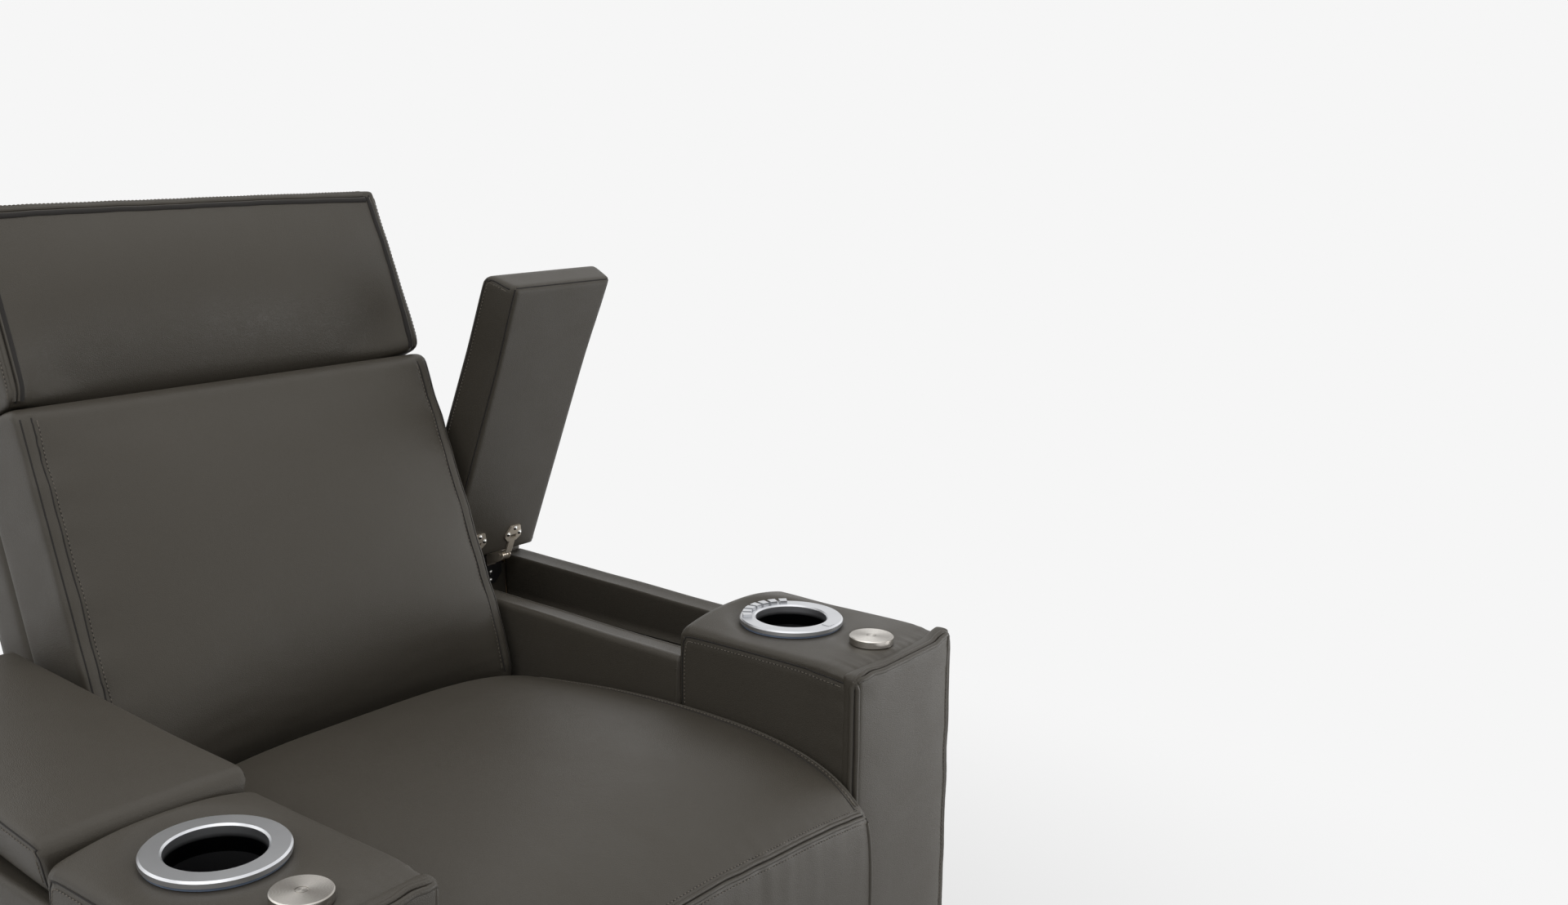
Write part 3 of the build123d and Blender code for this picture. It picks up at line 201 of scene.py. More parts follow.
def taupe_leather():
    skin = Finish("taupe_leather")
    place = skin.place()
    drift = skin.noise(place, 60.0, output=1)
    drifted = {0: drift, 1: (0.004, 0.004, 0.004), 2: place}
    warped = skin.node("VectorMath", {"operation": "MULTIPLY_ADD"}, drifted)
    cells = {"Vector": warped, "Scale": 640.0}
    pebble = skin.node("TexVoronoi", {"feature": "DISTANCE_TO_EDGE"}, cells)
    crease = skin.noise(warped, 230.0, 4.0)
    patch = skin.noise(place, 22.0, 3.0)
    cloud = skin.noise(place, 5.0)
    grain = 0.8 * pebble + 0.5 * crease * patch
    tone = skin.mix(cloud, coloured(0.08, 0.0705, 0.056), coloured(0.094, 0.0835, 0.067))
    colour = skin.mix(crease * 0.3, tone, coloured(0.066, 0.058, 0.046))
    bump = skin.bump(grain, 0.42, 0.001)
    return skin.surface(Base_Color=colour, Roughness=0.37 + 0.16 * patch, Normal=bump, IOR=1.42)


# Painted shade: near-black leather for the thin tubes laid along seams, welts and stitches, where shade
# falls.
def seam_shadow():
    shadow = Finish("painted_seam_shade")
    speck = shadow.noise(shadow.place(), 700.0)
    colour = shadow.mix(speck, coloured(0.012, 0.01, 0.009), coloured(0.024, 0.021, 0.018))
    return shadow.surface(Base_Color=colour, Roughness=0.7 + 0.2 * speck)


def taupe_thread():
    thread = Finish("taupe_thread")
    twist = thread.noise(thread.place(), 1200.0)
    colour = thread.mix(twist, coloured(0.15, 0.13, 0.105), coloured(0.24, 0.21, 0.175))
    return thread.surface(Base_Color=colour, Roughness=0.55 + 0.1 * twist)


leather = taupe_leather()
seam_shade_material = seam_shadow()
thread = taupe_thread()
STITCH_PITCH = 0.0047
STITCH_LENGTH = 0.0034
STITCH_RADIUS = 0.0006
STITCH_ASIDE = 0.005
STITCH_LIFT = 0.3
SHADE_LINE_RADIUS = 0.0009
SEAM_WIDTH = 0.0032
LIP_APART = 1.1
LINE_STEP = 0.002
CURVE_STEPS = 60
BLEND = 0.002
BLEND_LEAST = 0.0002
FOLD_DRIFT = 7.0
SHARP_ANGLE = 0.6
ROUND_SEGMENTS = 5
FOAM_FILL = 0.8


def sliced(shape, axis, low, high, step):
    """Cuts a shape into even slices across an axis, so that it can bend."""
    count = max(1, round((high - low) / step))
    for cut in range(count + 1):
        middle = Vector((0.0, 0.0, 0.0))
        normal = Vector((0.0, 0.0, 0.0))
        middle[axis] = low + (high - low) * cut / count
        normal[axis] = 1.0
        everything = shape.verts[:] + shape.edges[:] + shape.faces[:]
        bmesh.ops.bisect_plane(shape, geom=everything, dist=1e-6, plane_co=middle, plane_no=normal)


def rounded(shape, edges, radius, segments):
    """Bevels edges to a round."""
    bmesh.ops.bevel(
        shape, geom=edges, offset=radius, segments=segments, profile=0.5, affect="EDGES", material=-1
    )


def padded_block(low, high, radius, steps, segments=3, rounds=()):
    """Box with rounded edges, sliced to be shaped. Rounds give larger edges by direction and radius."""
    low = Vector(low)
    high = Vector(high)
    middle = (low + high) / 2
    shape = bmesh.new()
    bmesh.ops.create_cube(shape, size=1.0)
    bmesh.ops.scale(shape, vec=high - low, verts=shape.verts)
    bmesh.ops.translate(shape, vec=middle, verts=shape.verts)
    for way, larger in rounds:
        reach = {}
        for edge in shape.edges:
            reach[edge] = min((vert.co - middle).dot(Vector(way)) for vert in edge.verts)
        rounded(shape, [max(reach, key=reach.get)], larger, ROUND_SEGMENTS)
    sharp = [edge for edge in shape.edges if edge.calc_face_angle() > SHARP_ANGLE]
    rounded(shape, sharp, radius, segments)
    for axis in range(3):
        sliced(shape, axis, low[axis] + radius, high[axis] - radius, steps[axis])
    return shape


def softened(shape):
    """The shape after one subdivision."""
    mesh = bpy.data.meshes.new("coarse")
    shape.to_mesh(mesh)
    shape.free()
    holder = bpy.data.objects.new("coarse", mesh)
    bpy.context.scene.collection.objects.link(holder)
    finer = holder.modifiers.new("finer", "SUBSURF")
    finer.levels = 1
    finer.render_levels = 1
    evaluated = holder.evaluated_get(bpy.context.evaluated_depsgraph_get())
    smooth = bpy.data.meshes.new_from_object(evaluated)
    result = bmesh.new()
    result.from_mesh(smooth)
    bpy.data.objects.remove(holder)
    bpy.data.meshes.remove(mesh)
    bpy.data.meshes.remove(smooth)
    return result


def ripple(place, scale, seed):
    """Smooth unevenness between about -1 and 1."""
    return noise.noise(place * scale + Vector((seed, 2.3 * seed, -seed)))


def clamped(value):
    return min(max(value, 0.0), 1.0)


def ramp(value, start, end):
    """Rises smoothly from 0 at start to 1 at end."""
    t = clamped((value - start) / (end - start))
    return t * t * (3.0 - 2.0 * t)


def joined(target, *others):
    """Adds other shapes to the first."""
    for other in others:
        mesh = bpy.data.meshes.new("joined")
        other.to_mesh(mesh)
        target.from_mesh(mesh)
        bpy.data.meshes.remove(mesh)
        other.free()
    return target


def verts_of(result):
    """The vertices among what a bmesh operator made."""
    return [item for item in result["geom"] if isinstance(item, bmesh.types.BMVert)]


def finished(name, shape, material, body):
    """Makes a bmesh into a smooth-shaded piece that rides on a body."""
    for face in shape.faces:
        face.smooth = True
    mesh = bpy.data.meshes.new(name)
    shape.to_mesh(mesh)
    shape.free()
    mesh.materials.append(material)
    piece = bpy.data.objects.new(name, mesh)
    bpy.context.scene.collection.objects.link(piece)
    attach(piece, body)
    return piece


bead = bmesh.new()
bmesh.ops.create_uvsphere(bead, u_segments=6, v_segments=4, radius=STITCH_RADIUS)
bmesh.ops.scale(bead, vec=(1.0, STITCH_LENGTH / (2 * STITCH_RADIUS), 1.0), verts=bead.verts)
stitch = bpy.data.meshes.new("stitch")
bead.to_mesh(stitch)
bead.free()


def evened(places):
    """Places along a line, each the mean of itself and its neighbours, so that small jumps go."""
    even = []
    for n in range(len(places)):
        near = places[max(n - 2, 0):n + 3]
        even.append([sum(vectors, Vector((0.0, 0.0, 0.0))) / len(near) for vectors in zip(*near)])
    return even


class Cover:
    """A leather cover: its skin, the rolls along its seams, dark tubes of painted shade along its seams
    and under its stitches, and its stitches.
    """

    def __init__(self, shape):
        self.shape = shape
        self.rolls = bmesh.new()
        self.painted_shade_lines = bmesh.new()
        self.thread = bmesh.new()
        self.settle()

    def settle(self):
        """Takes the skin as it now is for placing seams."""
        self.shape.normal_update()
        self.shape.faces.ensure_lookup_table()
        self.skin = BVHTree.FromBMesh(self.shape)

    def touch(self, point):
        """The nearest place on the skin, with its smooth normal."""
        spot, normal, n, _ = self.skin.find_nearest(point)
        for vert in self.shape.faces[n].verts:
            normal += vert.normal * BLEND / ((vert.co - spot).length + BLEND_LEAST)
        return spot, normal.normalized()

    def line(self, stops, pitch, aside=0.0):
        """Even places on the skin along a smooth line through the stops, with normal and direction."""
        stops = [Vector(stop) for stop in stops]
        path = []
        for n in range(len(stops) - 1):
            before = stops[max(n - 1, 0)]
            after = stops[min(n + 2, len(stops) - 1)]
            leave = stops[n] + (stops[n + 1] - before) / 6
            arrive = stops[n + 1] - (after - stops[n]) / 6
            path += interpolate_bezier(stops[n], leave, arrive, stops[n + 1], CURVE_STEPS)[:-1]
        path = evened([self.touch(point) for point in path + stops[-1:]])
        places = []
        left = 0.0
        for (here, normal), (there, _) in zip(path, path[1:]):
            run = there - here
            along = run.normalized()
            while left <= run.length and run.length > 1e-9:
                spot = here + along * left
                if aside:
                    spot, normal = self.touch(spot + normal.cross(along).normalized() * aside)
                places.append((spot, normal, along))
                left += pitch
            left -= run.length
        return evened(places) if aside else places

    def near(self, stops, reach):
        """The skin's vertices near a line, with their distance from it and how far along it they are."""
        places = self.line(stops, LINE_STEP)
        tree = KDTree(len(places))
        for n, (spot, _, _) in enumerate(places):
            tree.insert(spot, n)
        tree.balance()
        for vert in self.shape.verts:
            _, n, away = tree.find(vert.co)
            if away < reach:
                yield vert, away, n * LINE_STEP

    def groove(self, stops, width, depth):
        """Draws the skin in along a line."""
        for vert, away, _ in self.near(stops, 3 * width):
            vert.co -= vert.normal * depth * math.exp(-((away / width) ** 2))
        self.settle()

    def gather(self, stops, reach, depth, pitch):
        """Small folds that run out square to a line."""
        for vert, away, along in self.near(stops, 4 * reach):
            wave = noise.noise(Vector((along / pitch, FOLD_DRIFT * away, 0.5)))
            vert.co += vert.normal * depth * wave * math.exp(-away / reach)
        self.settle()

    def tube(self, target, stops, radius, aside=0.0, sunk=0.3):
        """A round roll along a line, part sunk in the skin."""
        places = self.line(stops, 2 * LINE_STEP, aside)
        curve = bpy.data.curves.new("roll", "CURVE")
        curve.dimensions = "3D"
        curve.bevel_depth = radius
        curve.bevel_resolution = 2
        curve.use_fill_caps = True
        spline = curve.splines.new("POLY")
        spline.points.add(len(places) - 1)
        for point, (spot, normal, _) in zip(spline.points, places):
            point.co = (*(spot - normal * radius * sunk), 1.0)
        roll = bpy.data.objects.new("roll", curve)
        mesh = bpy.data.meshes.new_from_object(roll)
        target.from_mesh(mesh)
        bpy.data.objects.remove(roll)
        bpy.data.curves.remove(curve)
        bpy.data.meshes.remove(mesh)

    def stitch(self, stops, aside=0.0):
        """One row of stitches, with a dark tube of painted shade sunk under them."""
        for spot, normal, along in self.line(stops, STITCH_PITCH, aside):
            side = normal.cross(along).normalized()
            axes = Matrix((side, along.normalized(), side.cross(along).normalized()))
            lifted = spot + normal * STITCH_RADIUS * STITCH_LIFT
            single = stitch.copy()
            single.transform(Matrix.Translation(lifted) @ axes.transposed().to_4x4())
            self.thread.from_mesh(single)
            bpy.data.meshes.remove(single)
        # Painted shade: a dark tube sunk under the stitches.
        self.tube(self.painted_shade_lines, stops, STITCH_RADIUS, aside, sunk=0.6)

    def sew(self, stops, stitches=(), lips=0.0, depth=0.0015):
        """A seam: the skin drawn in, a dark tube of painted shade along it, rows of stitches beside it
        and two rolled lips.
        """
        self.groove(stops, SEAM_WIDTH, depth)
        # Painted shade: a dark tube along the seam stands in for the shade in its crease.
        self.tube(self.painted_shade_lines, stops, SHADE_LINE_RADIUS, sunk=0.2)
        for aside in stitches:
            self.stitch(stops, aside)
        for aside in (-LIP_APART * lips, LIP_APART * lips) if lips else ():
            self.tube(self.rolls, stops, lips, aside, sunk=0.1)

    def sewn(self, name, body, nodes, turn=Matrix.Identity(4), mirrored=False, fill=None):
        """Makes the cover, its rolls, its painted shade lines and its stitches into pieces that ride on
        a body.
        """
        for kind, shape, material in (
            ("", self.shape, leather),
            ("_rolls", self.rolls, leather),
            ("_creases", self.painted_shade_lines, seam_shade_material),
            ("_stitches", self.thread, thread),
        ):
            if not shape.faces:
                continue
            copy = shape.copy()
            copy.transform(turn)
            if mirrored:
                bmesh.ops.scale(copy, vec=(-1.0, 1.0, 1.0), verts=copy.verts)
                bmesh.ops.reverse_faces(copy, faces=copy.faces)
            finished(name + kind, copy, material, body)
        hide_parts(*nodes)

    def pair(self, name, node, fill=None):
        """Makes the right arm's cover, and its mirror image on the left arm."""
        self.sewn(f"{name}_right", "chair", [f"{node}_right"], fill=fill)
        self.sewn(f"{name}_left", "chair", [f"{node}_left"], mirrored=True, fill=fill)


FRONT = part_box("arm_front_panel_right")[0].y
arm_in, _, arm_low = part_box("arm_inner_cover_right")[0]
arm_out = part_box("arm_outer_cover_right")[1].x
arm_mid = (arm_in + arm_out) / 2
arm_half = (arm_out - arm_in) / 2
block_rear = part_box("arm_top_pad_right")[1].y
bin_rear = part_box("arm_rear_block_right")[0].y
bin_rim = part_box("storage_bin_right")[1].z
pad_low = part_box("dock_sockets")[1].z


def middle_of(node):
    low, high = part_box(node)
    return Vector(((low.x + high.x) / 2, (low.y + high.y) / 2, 0.0))


cup_middle = middle_of("cup_ring_right")
dock_middle = middle_of("dock_cap_right")
RING_RADIUS = 0.058
CAP_RADIUS = 0.024
PRESSED_IN = 0.011
CUP_HOLE = 0.0462
DOCK_HOLE = 0.0168
HOLE_MARGIN = 0.006
HOLE_RIM = 0.012
BLOCK_TOP = pad_low - 0.0005
BLOCK_AHEAD = 0.013
BLOCK_EDGE = 0.0085
BLOCK_REAR_EDGE = 0.014
BLOCK_CROWN = 0.003
BLOCK_SWELL = 0.0095
BLOCK_FALL = 0.006
TOP_ZONE = 0.02


def let_in(height, away, radius, level):
    """Height of the skin near a fitting that presses it down to a level."""
    outside = max(away - radius, 0.0)
    return level + (height - level) * (1.0 - math.exp(-((outside / PRESSED_IN) ** 2)))


def arm_block():
    """Leather box of the right arm's front part, swollen behind the cup ring."""
    bottom = (arm_in, FRONT + BLOCK_AHEAD, arm_low)
    top = (arm_out, block_rear + 0.0012, BLOCK_TOP)
    rounds = [((0.0, 9.0, 9.0), BLOCK_REAR_EDGE)]
    shape = padded_block(bottom, top, BLOCK_EDGE, steps=(0.0056, 0.0056, 0.011), rounds=rounds)
    for vert in shape.verts:
        spot = vert.co.copy()
        across = (spot.x - arm_mid) / arm_half
        back = spot.y - FRONT
        above = ramp(spot.z, BLOCK_TOP - TOP_ZONE, BLOCK_TOP - 0.001)
        crown = max(1.0 - across**2, 0.0) * (BLOCK_CROWN + BLOCK_SWELL * ramp(back, 0.15, 0.215))
        crown += 0.0008 * ripple(spot, 14.0, 5.0) - BLOCK_FALL * (1.0 - ramp(back, 0.0, 0.06))
        height = spot.z + crown * above
        if above > 0.0:
            level = min(spot.z, pad_low)
            height = let_in(height, (spot.xy - cup_middle.xy).length, RING_RADIUS, level)
            height = let_in(height, (spot.xy - dock_middle.xy).length, CAP_RADIUS, level)
        vert.co.z = height
        if spot.z < bin_rim and spot.y > block_rear - 0.004:
            vert.co.y -= 0.003
        if abs(across) > 0.98:
            uneven = math.copysign(0.0009, across) * ripple(spot, 8.0, 2.0)
            vert.co.x += uneven * ramp(BLOCK_TOP - spot.z, 0.0, 0.05)
    return softened(shape)


def holed(shape, middle, radius):
    """Cuts a round hole in the top of a cover and turns its rim down."""
    within = []
    for face in shape.faces:
        centre = face.calc_center_median()
        if centre.z > BLOCK_TOP - TOP_ZONE and (centre - middle).xy.length < radius:
            within.append(face)
    bmesh.ops.delete(shape, geom=within, context="FACES")
    rim = []
    for edge in shape.edges:
        if edge.is_boundary and (edge.verts[0].co - middle).xy.length < radius + HOLE_MARGIN:
            rim.append(edge)
    for vert in {vert for edge in rim for vert in edge.verts}:
        out = (vert.co - middle).xy.normalized() * radius
        vert.co.x = middle.x + out.x
        vert.co.y = middle.y + out.y
    lower = verts_of(bmesh.ops.extrude_edge_only(shape, edges=rim))
    bmesh.ops.translate(shape, vec=(0.0, 0.0, -HOLE_RIM), verts=lower)


def side_line(x, places):
    """Stops of a line on an upright side, from its (y, z) places."""
    return [(x, y, z) for y, z in places]


block = Cover(arm_block())
inner_x = arm_in - 0.001
outer_x = arm_out + 0.001
SEAM_Z = BLOCK_TOP - BLOCK_EDGE
BLOCK_SEAM = [
    (FRONT + 0.02, SEAM_Z - 0.005), (FRONT + 0.06, SEAM_Z - 0.001),
    (FRONT + 0.13, SEAM_Z + 0.001), (block_rear - 0.02, SEAM_Z),
    (block_rear - 0.009, SEAM_Z - 0.005), (block_rear - 0.005, SEAM_Z - 0.016),
    (block_rear - 0.004, SEAM_Z - 0.06), (block_rear - 0.004, 0.4),
]
BLOCK_CORNER = [(FRONT + 0.016, SEAM_Z - 0.01), (FRONT + 0.016, 0.5)]
for x, way in ((inner_x, 1.0), (outer_x, -1.0)):
    seam = side_line(x, BLOCK_SEAM)
    block.sew(seam, stitches=(way * STITCH_ASIDE,))
    block.gather(seam[:2], reach=0.016, depth=0.0011, pitch=0.009)
    block.gather(side_line(x, BLOCK_CORNER), reach=0.018, depth=0.0012, pitch=0.012)
front_edge = [(arm_in + 0.01, FRONT + 0.02, BLOCK_TOP), (arm_out - 0.01, FRONT + 0.02, BLOCK_TOP)]
block.gather(front_edge, reach=0.014, depth=0.001, pitch=0.007)
holed(block.shape, cup_middle, CUP_HOLE)
holed(block.shape, dock_middle, DOCK_HOLE)
block.pair("arm_block_leather", "arm_top_pad", fill=FOAM_FILL)

# Arm fronts: a padded panel on the front board, slightly crowned. A pair of rolled leather lips frames
# it where it is sewn to the sides and the top, and stands up as an ear at the outer corner.
PANEL_CROWN = 0.0045
PANEL_EAR = 0.006
PANEL_PROUD = 0.0006
edge_y = FRONT + 0.004
edge_z = BLOCK_TOP - 0.003


def arm_front():
    low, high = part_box("arm_front_panel_right")
    bottom = (arm_in - PANEL_PROUD, edge_y, arm_low)
    top = (arm_out + PANEL_PROUD, high.y - 0.004, edge_z)
    shape = padded_block(bottom, top, radius=0.006, steps=(0.008, 0.006, 0.011))
    for vert in shape.verts:
        across = (vert.co.x - arm_mid) / arm_half
        ahead = clamped((high.y - vert.co.y) / (high.y - low.y))
        vert.co.y -= ahead * (PANEL_CROWN * (1.0 - across**4) + 0.0008 * ripple(vert.co, 7.0, 4.0))
        vert.co.z += PANEL_EAR * ramp(vert.co.z, 0.55, 0.61) * ramp(across, 0.6, 1.0)
    return softened(shape)


front = Cover(arm_front())
edge = [(inner_x, edge_y, arm_low + 0.004), (inner_x, edge_y, 0.3), (inner_x, edge_y, edge_z - 0.03)]
edge += [(inner_x, edge_y, edge_z - 0.01), (inner_x + 0.004, edge_y, edge_z)]
edge += [(inner_x + 0.02, edge_y, edge_z + 0.001), (arm_mid, edge_y, edge_z + 0.001)]
edge += [(outer_x - 0.03, edge_y, edge_z + 0.003), (outer_x - 0.009, edge_y, edge_z + 0.006)]
edge += [(outer_x - 0.004, FRONT + 0.002, edge_z - 0.006)]
outer_edge = [(FRONT, edge_z - 0.03), (FRONT, 0.3), (FRONT, arm_low + 0.004)]
outer_edge = side_line(outer_x - 0.005, outer_edge)
front.gather(edge + outer_edge, reach=0.02, depth=0.0009, pitch=0.03)
front.sew(edge + outer_edge, lips=0.003, depth=0.0025)
front.stitch(outer_edge, aside=-0.008)
front.pair("arm_front_leather", "arm_front_panel")

# Bin walls: the arm's sides beside and behind the storage bin, leather over foam on each board. It
# rolls over the wall's rising top edge and lines the inside down to the bin's rim.
wall_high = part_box("arm_inner_cover_right")[1]
COVER = 0.014
LINING = 0.004
WALL_RISE = 0.011
WALL_ROUND = 0.009
WALL_ROLL = 0.0018
wall_top = wall_high.z - WALL_RISE
board_top = wall_top - LINING


def bin_wall():
    lining_x = wall_high.x - LINING
    corners = [(arm_in, arm_low), (arm_in, wall_top), (wall_high.x, wall_top), (wall_high.x, bin_rim)]
    corners += [(lining_x, bin_rim), (lining_x, board_top)]
    corners += [(arm_in + COVER, board_top), (arm_in + COVER, arm_low)]
    shape = bmesh.new()
    outline = [shape.verts.new((x, block_rear, z)) for x, z in corners]
    bmesh.ops.contextual_create(shape, geom=outline)
    moved = verts_of(bmesh.ops.extrude_face_region(shape, geom=shape.faces[:]))
    bmesh.ops.translate(shape, vec=(0.0, bin_rear - block_rear, 0.0), verts=moved)
    bmesh.ops.recalc_face_normals(shape, faces=shape.faces)
    ridge = []
    for edge in shape.edges:
        level = all(abs(vert.co.z - wall_top) < 1e-5 for vert in edge.verts)
        if level and abs(edge.verts[0].co.y - edge.verts[1].co.y) > 0.1:
            ridge.append(edge)
    rounded(shape, ridge, WALL_ROUND, ROUND_SEGMENTS)
    sliced(shape, 1, block_rear + 0.003, bin_rear - 0.003, 0.012)
    sliced(shape, 2, arm_low + 0.004, board_top - 0.001, 0.013)
    for vert in shape.verts:
        climb = WALL_RISE * (vert.co.y - block_rear) / (bin_rear - block_rear)
        vert.co.z += climb * ramp(vert.co.z, bin_rim, board_top)
        vert.co.z += 0.0007 * ripple(vert.co, 11.0, 7.0) * ramp(vert.co.z, bin_rim, board_top)
        if vert.co.x < arm_in + 0.004:
            vert.co.x += 0.0012 * ripple(vert.co, 7.0, 3.0) - 0.0002
    bottom = (arm_in, bin_rear, arm_low)
    top = (arm_in + COVER, wall_high.y, board_top)
    rear = padded_block(bottom, top, radius=0.003, steps=(0.02, 0.013, 0.02), segments=2)
    return joined(shape, rear)


wall = Cover(bin_wall())
for y in (block_rear + 0.002, bin_rear):
    wall.tube(wall.rolls, [(arm_in, y, 0.4), (arm_in, y, wall_top - 0.012)], WALL_ROLL, sunk=0.4)
wall.pair("arm_inner_leather", "arm_inner_cover")
outer = Cover(wall.shape.copy())
outer.rolls = wall.rolls.copy()
opposite = Matrix.Translation((2 * arm_mid, 0.0, 0.0)) @ Matrix.Diagonal((-1.0, 1.0, 1.0, 1.0))
for shape in (outer.shape, outer.rolls):
    shape.transform(opposite)
    bmesh.ops.reverse_faces(shape, faces=shape.faces)
outer.pair("arm_outer_leather", "arm_outer_cover")

# Rear blocks: a leather-covered post behind each bin that carries the lid's hinges, with a cap across
# the arm's whole width and a panel over its rear end.
post_low, post_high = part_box("arm_rear_block_right")
HEM_IN = 0.004


def rear_block():
    inside = (post_high.x - post_low.x) / 2 - COVER - 0.016
    bottom = (arm_mid - inside, post_low.y, 0.3)
    top = (arm_mid + inside, post_high.y - 0.01, board_top)
    post = padded_block(bottom, top, radius=0.003, steps=(0.03, 0.03, 0.03), segments=2)
    bottom = (post_low.x, post_low.y, board_top)
    cap = padded_block(bottom, post_high, radius=0.009, steps=(0.012, 0.012, 0.012))
    bottom = (post_low.x, post_high.y - COVER, arm_low)
    top = (post_high.x, post_high.y, board_top + 0.006)
    end = padded_block(bottom, top, radius=0.006, steps=(0.012, 0.012, 0.02))
    return softened(joined(cap, post, end))


post = Cover(rear_block())
corner_y = post_high.y - 0.001
for x in (post_low.x, post_high.x):
    corner = side_line(x, [(corner_y, arm_low + 0.004), (corner_y, 0.3), (corner_y, 0.57)])
    post.sew(corner, lips=WALL_ROLL)
hem_y = post_high.y + 0.001
hem_z = board_top + 0.002
hem = [(post_low.x + HEM_IN, hem_y, hem_z), (post_high.x - HEM_IN, hem_y, hem_z)]
post.sew(hem, stitches=(-STITCH_ASIDE,))
post.pair("arm_rear_leather", "arm_rear_block")

# Cup rings: turned and satin-anodised aluminium, with polished bevels. The control keys and the
# flush light key are the same aluminium. Their colour turns near black below a set height, down the
# rings' sleeves under their bevel.
SLEEVE_DARK = 0.612


def satin_aluminium():
    metal = Finish("satin_aluminium")
    place = metal.place()
    speckle = metal.noise(place, 2500.0, 1.0)
    cloud = metal.noise(place, 40.0)
    silver = metal.mix(cloud, coloured(0.6, 0.61, 0.63), coloured(0.7, 0.71, 0.73))
    height = metal.node("SeparateXYZ", sockets={0: place}, output="Z")
    fade = {0: height, 1: SLEEVE_DARK, 2: SLEEVE_DARK + 0.004, 3: 1.0, 4: 0.0}
    deep = metal.node("MapRange", sockets=fade)
    colour = metal.mix(deep, silver, coloured(0.012, 0.013, 0.015))
    bump = metal.bump(speckle, 0.12, 0.0002)
    return metal.surface(Base_Color=colour, Metallic=1.0, Roughness=0.3 + 0.1 * speckle, Normal=bump)


aluminium = satin_aluminium()
dress(aluminium, "cup_ring_right", "cup_ring_left", "light_key")
dress(aluminium, *[f"control_key_{n}" for n in range(1, 8)])

# Light rings: clear acrylic hoops under the cup rings' flanges. Their faint blue is painted light from
# the lamps behind them, laid into the base colour. They are pressed on over the rings' sleeves.


def clear_acrylic():
    acrylic = Finish("clear_acrylic")
    place = acrylic.place()
    cloud = acrylic.noise(place, 50.0)
    # Painted light: the blue base colour stands for the glow of the lamps behind the rings.
    colour = acrylic.mix(cloud, coloured(0.2, 0.28, 0.42), coloured(0.32, 0.4, 0.55))
    return acrylic.surface(Base_Color=colour, Roughness=0.12 + 0.06 * cloud, Coat_Weight=0.6)


dress(clear_acrylic(), "cup_light_rings")

# Dock caps: turned stainless steel, with the fine rings of the lathe tool round their middle, and a
# painted highlight of the bright fans that such rings throw, laid into the colour by angle. Each drops
# into its socket by a spigot.
PAINTED_FANS = 2.0
PAINTED_FAN_TURN = 0.9


def turned_steel(name, middle):
    steel = Finish(f"turned_steel_{name}")
    place = steel.place()
    centred = steel.node("Mapping", sockets={"Vector": place, "Location": -middle})
    round_middle = {"wave_type": "RINGS", "rings_direction": "Z"}
    rings = steel.node("TexWave", round_middle, {"Vector": centred, "Scale": 420.0})
    turn = steel.node("TexGradient", {"gradient_type": "RADIAL"}, {"Vector": centred}, output="Fac")
    wave = steel.node("Math", {"operation": "SINE"}, {0: turn * (PAINTED_FANS * 2.0 * math.pi) + PAINTED_FAN_TURN})
    # Painted highlight: bright and dark fans by angle round the middle, mixed into the base colour.
    painted_fan_sheen = 0.5 + 0.4 * wave + 0.1 * steel.noise(place, 60.0)
    colour = steel.mix(painted_fan_sheen, coloured(0.3, 0.28, 0.255), coloured(0.8, 0.765, 0.715))
    bump = steel.bump(rings, 0.8, 0.0001)
    return steel.surface(
        Base_Color=colour, Metallic=1.0, Roughness=0.24 + 0.1 * rings, Normal=bump, Anisotropic=0.6
    )


for name, way in (("right", 1.0), ("left", -1.0)):
    middle = Vector((way * dock_middle.x, dock_middle.y, 0.0))
    dress(turned_steel(name, middle), f"dock_cap_{name}")

# Lid hinges: pressed steel, nickel plated, with bright dome-headed screws.
# A leaf under the lid turns on a pin between two bracket cheeks.


def plated_steel():
    plate = Finish("nickel_plate")
    place = plate.place()
    wear = plate.noise(place, 120.0, 4.0)
    colour = plate.mix(wear, coloured(0.74, 0.65, 0.53), coloured(0.88, 0.79, 0.67))
    bump = plate.bump(wear, 0.1, 0.0003)
    return plate.surface(Base_Color=colour, Metallic=0.45, Roughness=0.24 + 0.16 * wear, Normal=bump)


def bright_screws():
    screw = Finish("bright_screws")
    wear = screw.noise(screw.place(), 300.0)
    colour = screw.mix(wear, coloured(0.6, 0.6, 0.58), coloured(0.75, 0.75, 0.72))
    return screw.surface(Base_Color=colour, Metallic=1.0, Roughness=0.16 + 0.12 * wear)


nickel = plated_steel()
dress(nickel, "lid_hinge_leaves_right", "lid_hinge_leaves_left")
dress(nickel, "lid_hinge_brackets", "lid_hinge_pins")
dress(bright_screws(), "lid_leaf_screws_right", "lid_leaf_screws_left", "hinge_bracket_screws")

# Lids: a board padded with foam and boxed in leather. The top panel runs over the tip to the underside,
# side panels are sewn in with one row of stitches. The right lid stands open, the left lies closed.
lid_hinge = next(joint for joint in frame["joints"] if joint["name"] == "lid_right_hinge")
HINGE = Vector((0.0, *lid_hinge["pos_m"][1:]))
WALL_SLOPE = math.atan2(WALL_RISE, bin_rear - block_rear)
LID_SWING = math.radians(lid_hinge["range_deg"][0])
LID_LOW = HINGE.z - 0.006
LID_FRONT = block_rear + 0.003
LID_REAR = HINGE.y - 0.0095
LID_SIDE = 0.002
LID_TUCK = 0.0115
LID_CROWN = 0.0045
LID_BOW = 0.002
LID_FLARE = 0.004
TIP_THICK = 0.048
REAR_THICK = 0.057


